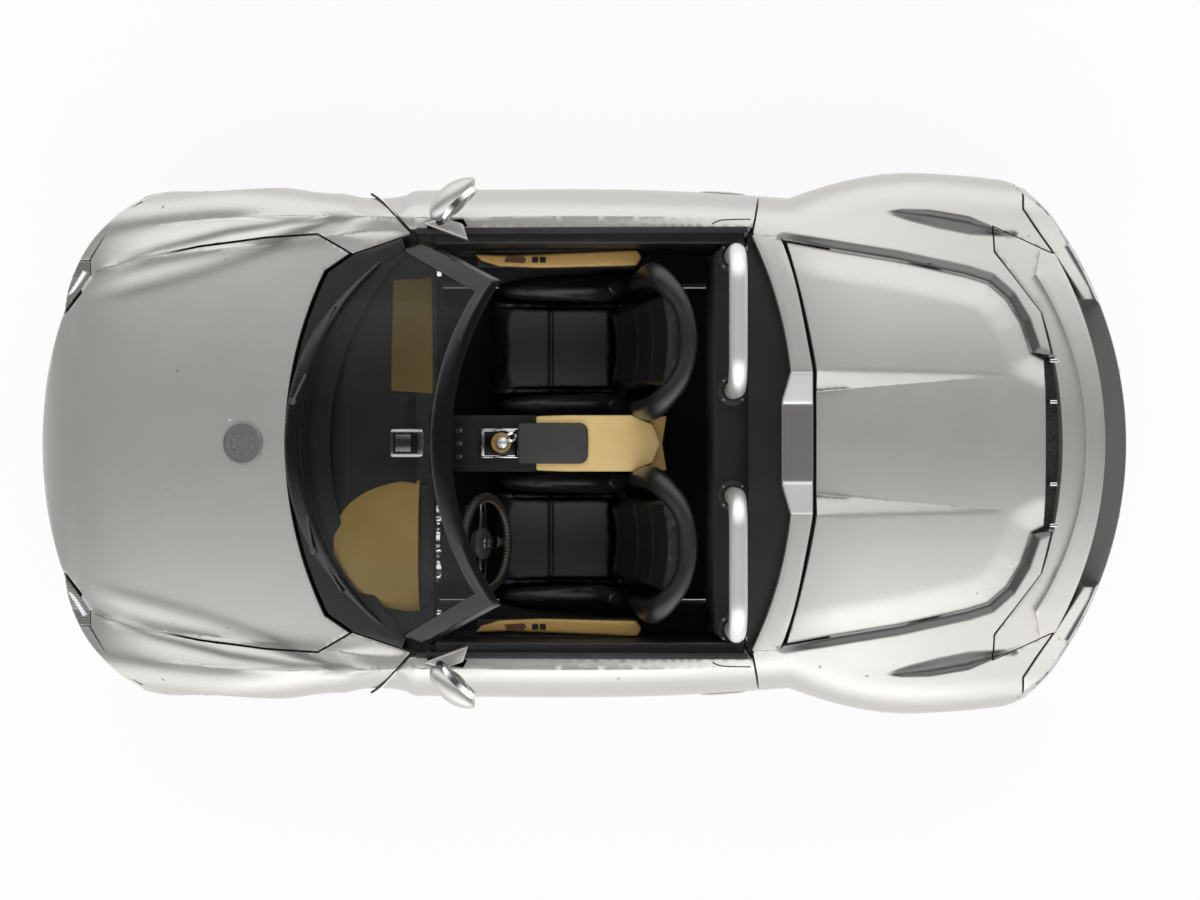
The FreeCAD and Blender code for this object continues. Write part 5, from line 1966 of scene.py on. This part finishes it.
def door_lining(side, name):
    """Black card with a tan armrest, a pull recess drawn as a flat plate of dark tan as painted
    shade, and window switches.
    """
    body = "door_" + name
    card = refined("door_card_" + name, "door_trim_" + name, 0.05, 0.006, lay=False)
    finish(card, BLACK_HIDE, body, ["door_trim_" + name])
    rest_profile = [(-0.372, 0.644), (-0.250, 0.640), (0.180, 0.658), (0.196, 0.634),
                    (0.180, 0.606), (-0.150, 0.598), (-0.290, 0.604), (-0.350, 0.622)]
    rest = extruded("door_armrest_" + name, [(x, side * y) for x, y in rest_profile], 0.640, 0.672,
                    bevel=0.009, segments=3)
    finish(rest, TAN_TRIM, body)
    # Painted shade: the pull recess is a thin plate on the armrest, darkened to look deep.
    recess = extruded("door_recess_" + name,
                      [(-0.272, side * 0.616), (-0.205, side * 0.612), (-0.196, side * 0.622),
                       (-0.205, side * 0.634), (-0.262, side * 0.636)], 0.668, 0.6735)
    finish(recess, RECESS_SHADE_TAN, body)
    for dx in (0.0, 0.026):
        switch = block("door_switch", (-0.176 + dx, side * 0.622 - 0.009, 0.670),
                       (-0.156 + dx, side * 0.622 + 0.009, 0.680), 0.003, 3)
        finish(switch, TRIM_BLACK, body)
    seal_line = [(tuple(on_body(-0.555 + 0.137 * step, side * 0.7035, 0.003)), 0.0105, 0.006)
                 for step in range(9)]
    seal = swept("door_seal_" + name, eased(seal_line, 40), 16)
    finish(seal, RUBBER, body)
    handle_line = []
    for x, width, height, proud in ((0.395, 0.003, 0.006, -0.001), (0.412, 0.004, 0.010, 0.001),
                                    (0.470, 0.005, 0.011, 0.002), (0.528, 0.004, 0.010, 0.001),
                                    (0.545, 0.003, 0.006, -0.001)):
        place, normal = on_skin(skins["door_" + name], (x, side * 2, 0.700), (0, -side, 0))
        handle_line.append((tuple(place + normal * proud), width, height))
    handle = swept("door_handle_" + name, eased(handle_line, 24), 20)
    finish(handle, SILVER, body)
    speaker = turned("door_speaker",
                     [(0.0, 0.0001), (0.0, 0.075), (0.006, 0.070), (0.008, 0.060), (0.004, 0.0001)],
                     (0, 0, 0), "Y", 48)
    for vert in speaker.data.vertices:
        vert.co.y *= -side
    speaker.location = (-0.380, side * 0.6625, 0.520)
    apply_place(speaker)
    outward(speaker)
    finish(speaker, NET, body)


for side, name in SIDES:
    door_lining(side, name)

# %% Wheels
RIM_R = 0.240
TYRE_R = 0.325
TREAD_CUTS = 60
NUT_CIRCLE = 0.052
WHEEL_FACE = 0.043
WHEELS = [
    # Columns: name, axle x, side, track, tyre width
    ("front_left", -1.170, -1, 0.735, 0.225),
    ("front_right", -1.170, 1, 0.735, 0.225),
    ("rear_left", 1.190, -1, 0.757, 0.255),
    ("rear_right", 1.190, 1, 0.757, 0.255),
]


def tyre(name, axle_x, side, track, width):
    """Rounded side walls and a tread of two grooves, with slanted cross cuts drawn as thin darker
    slabs, painted shade for their depth.
    """
    half = width / 2
    bead = (width - 0.015) / 2 - 0.010
    half_profile = [(bead, RIM_R + 0.001), (bead, 0.249), (half - 0.008, 0.262), (half, 0.284),
                    (half - 0.005, 0.305), (half - 0.022, 0.3205), (half - 0.050, TYRE_R)]
    grooves = []
    for centre in (0.034, -0.034):
        grooves += [(centre + 0.005, TYRE_R), (centre + 0.004, TYRE_R - 0.007),
                    (centre - 0.004, TYRE_R - 0.007), (centre - 0.005, TYRE_R)]
    profile = half_profile + grooves + [(-a, r) for a, r in reversed(half_profile)]
    ring = turned("tyre_skin_" + name, profile, (axle_x, side * track, TYRE_R), "Y", 120)
    finish(ring, RUBBER, "wheel_" + name, ["tyre_" + name])
    cuts = []
    for index in range(TREAD_CUTS):
        angle = 2 * math.pi * index / TREAD_CUTS
        for across in (-1, 1):
            # Painted shade: each cross cut is a thin slab of darker, glossier black that sits just
            # proud of the tread.
            cut = block("tread_cut", (-0.0022, across * (half - 0.052) - 0.014, -0.0035),
                        (0.0022, across * (half - 0.052) + 0.014, 0.0008), 0)
            cut.rotation_euler = (0, 0, across * 0.45)
            apply_place(cut)
            cut.matrix_world = (Matrix.Translation((axle_x, side * track, TYRE_R))
                                @ Matrix.Rotation(angle, 4, "Y")
                                @ Matrix.Translation((0, 0, TYRE_R)))
            cuts.append(cut)
    treads = join("tread_cuts_" + name, cuts)
    apply_place(treads)
    finish(treads, TRIM_BLACK, "wheel_" + name)


def wheel_details(name, axle_x, side, track, _):
    """Smooth rim, five nuts and a hub cap."""
    skin = refined("rim_skin_" + name, "rim_" + name, 0.05, 0.0025, lay=False)
    finish(skin, ALLOY, "wheel_" + name, ["rim_" + name])
    face = side * (track + WHEEL_FACE)
    nuts = []
    for index in range(5):
        angle = math.radians(72 * index + 36)
        x = axle_x + NUT_CIRCLE * math.sin(angle)
        z = TYRE_R + NUT_CIRCLE * math.cos(angle)
        nuts.append(rod("nut", (x, face, z), (x, face + side * 0.014, z), 0.010, 0.009, 6, 0.0012))
    finish(join("wheel_nuts_" + name, nuts), POLISHED, "wheel_" + name)
    cap = rod("wheel_cap_" + name, (axle_x, face, TYRE_R), (axle_x, face + side * 0.010, TYRE_R),
              0.031, 0.028, 48, 0.003)
    finish(cap, DARK_GREY, "wheel_" + name)


for row in WHEELS:
    tyre(*row)
    wheel_details(*row)

# %% [markdown]
# ## Tail end and underside

# %% Plate, pipes and linings


def tail_end():
    """Blank plate with two screws, the rims of the twin pipes, and dark nets and linings."""
    plate = block("blank_plate", (1.864, -0.260, 0.390), (1.868, 0.260, 0.500), 0.0015)
    finish(plate, moulded("plate_white", (0.74, 0.74, 0.72), (0.82, 0.82, 0.80), 200.0, 0.35))
    for y in (-0.105, 0.105):
        screw = rod("plate_screw", (1.867, y, 0.445), (1.871, y, 0.445), 0.006, 0.0045, 24)
        finish(screw, DULL_STEEL)
    for y in (-0.060, 0.060):
        lip = turned("pipe_lip",
                     [(0.0, 0.0365), (0.0, 0.0435), (0.007, 0.0430), (0.008, 0.0395),
                      (0.006, 0.0368)], (1.880, y, 0.250), "X", 48)
        finish(lip, CHROME)
    for side in (-1, 1):
        outline = [(-1.800, side * 0.385), (-1.735, side * 0.520), (-1.655, side * 0.620),
                   (-1.640, side * 0.620), (-1.720, side * 0.515), (-1.785, side * 0.385)]
        backing = extruded("side_intake_net", outline, 0.205, 0.385)
        finish(backing, NET)
        lining = extruded("bumper_lining",
                          [(-1.640, side * 0.640), (-1.500, side * 0.735), (-1.505, side * 0.715),
                           (-1.640, side * 0.620)], 0.200, 0.440)
        finish(lining, BLACK)
        mat = block("sill_mat", (-0.600, side * 0.628 - 0.0595, 0.360),
                    (0.4345, side * 0.628 + 0.0595, 0.4015), 0.0012)
        finish(mat, CARPET)


tail_end()
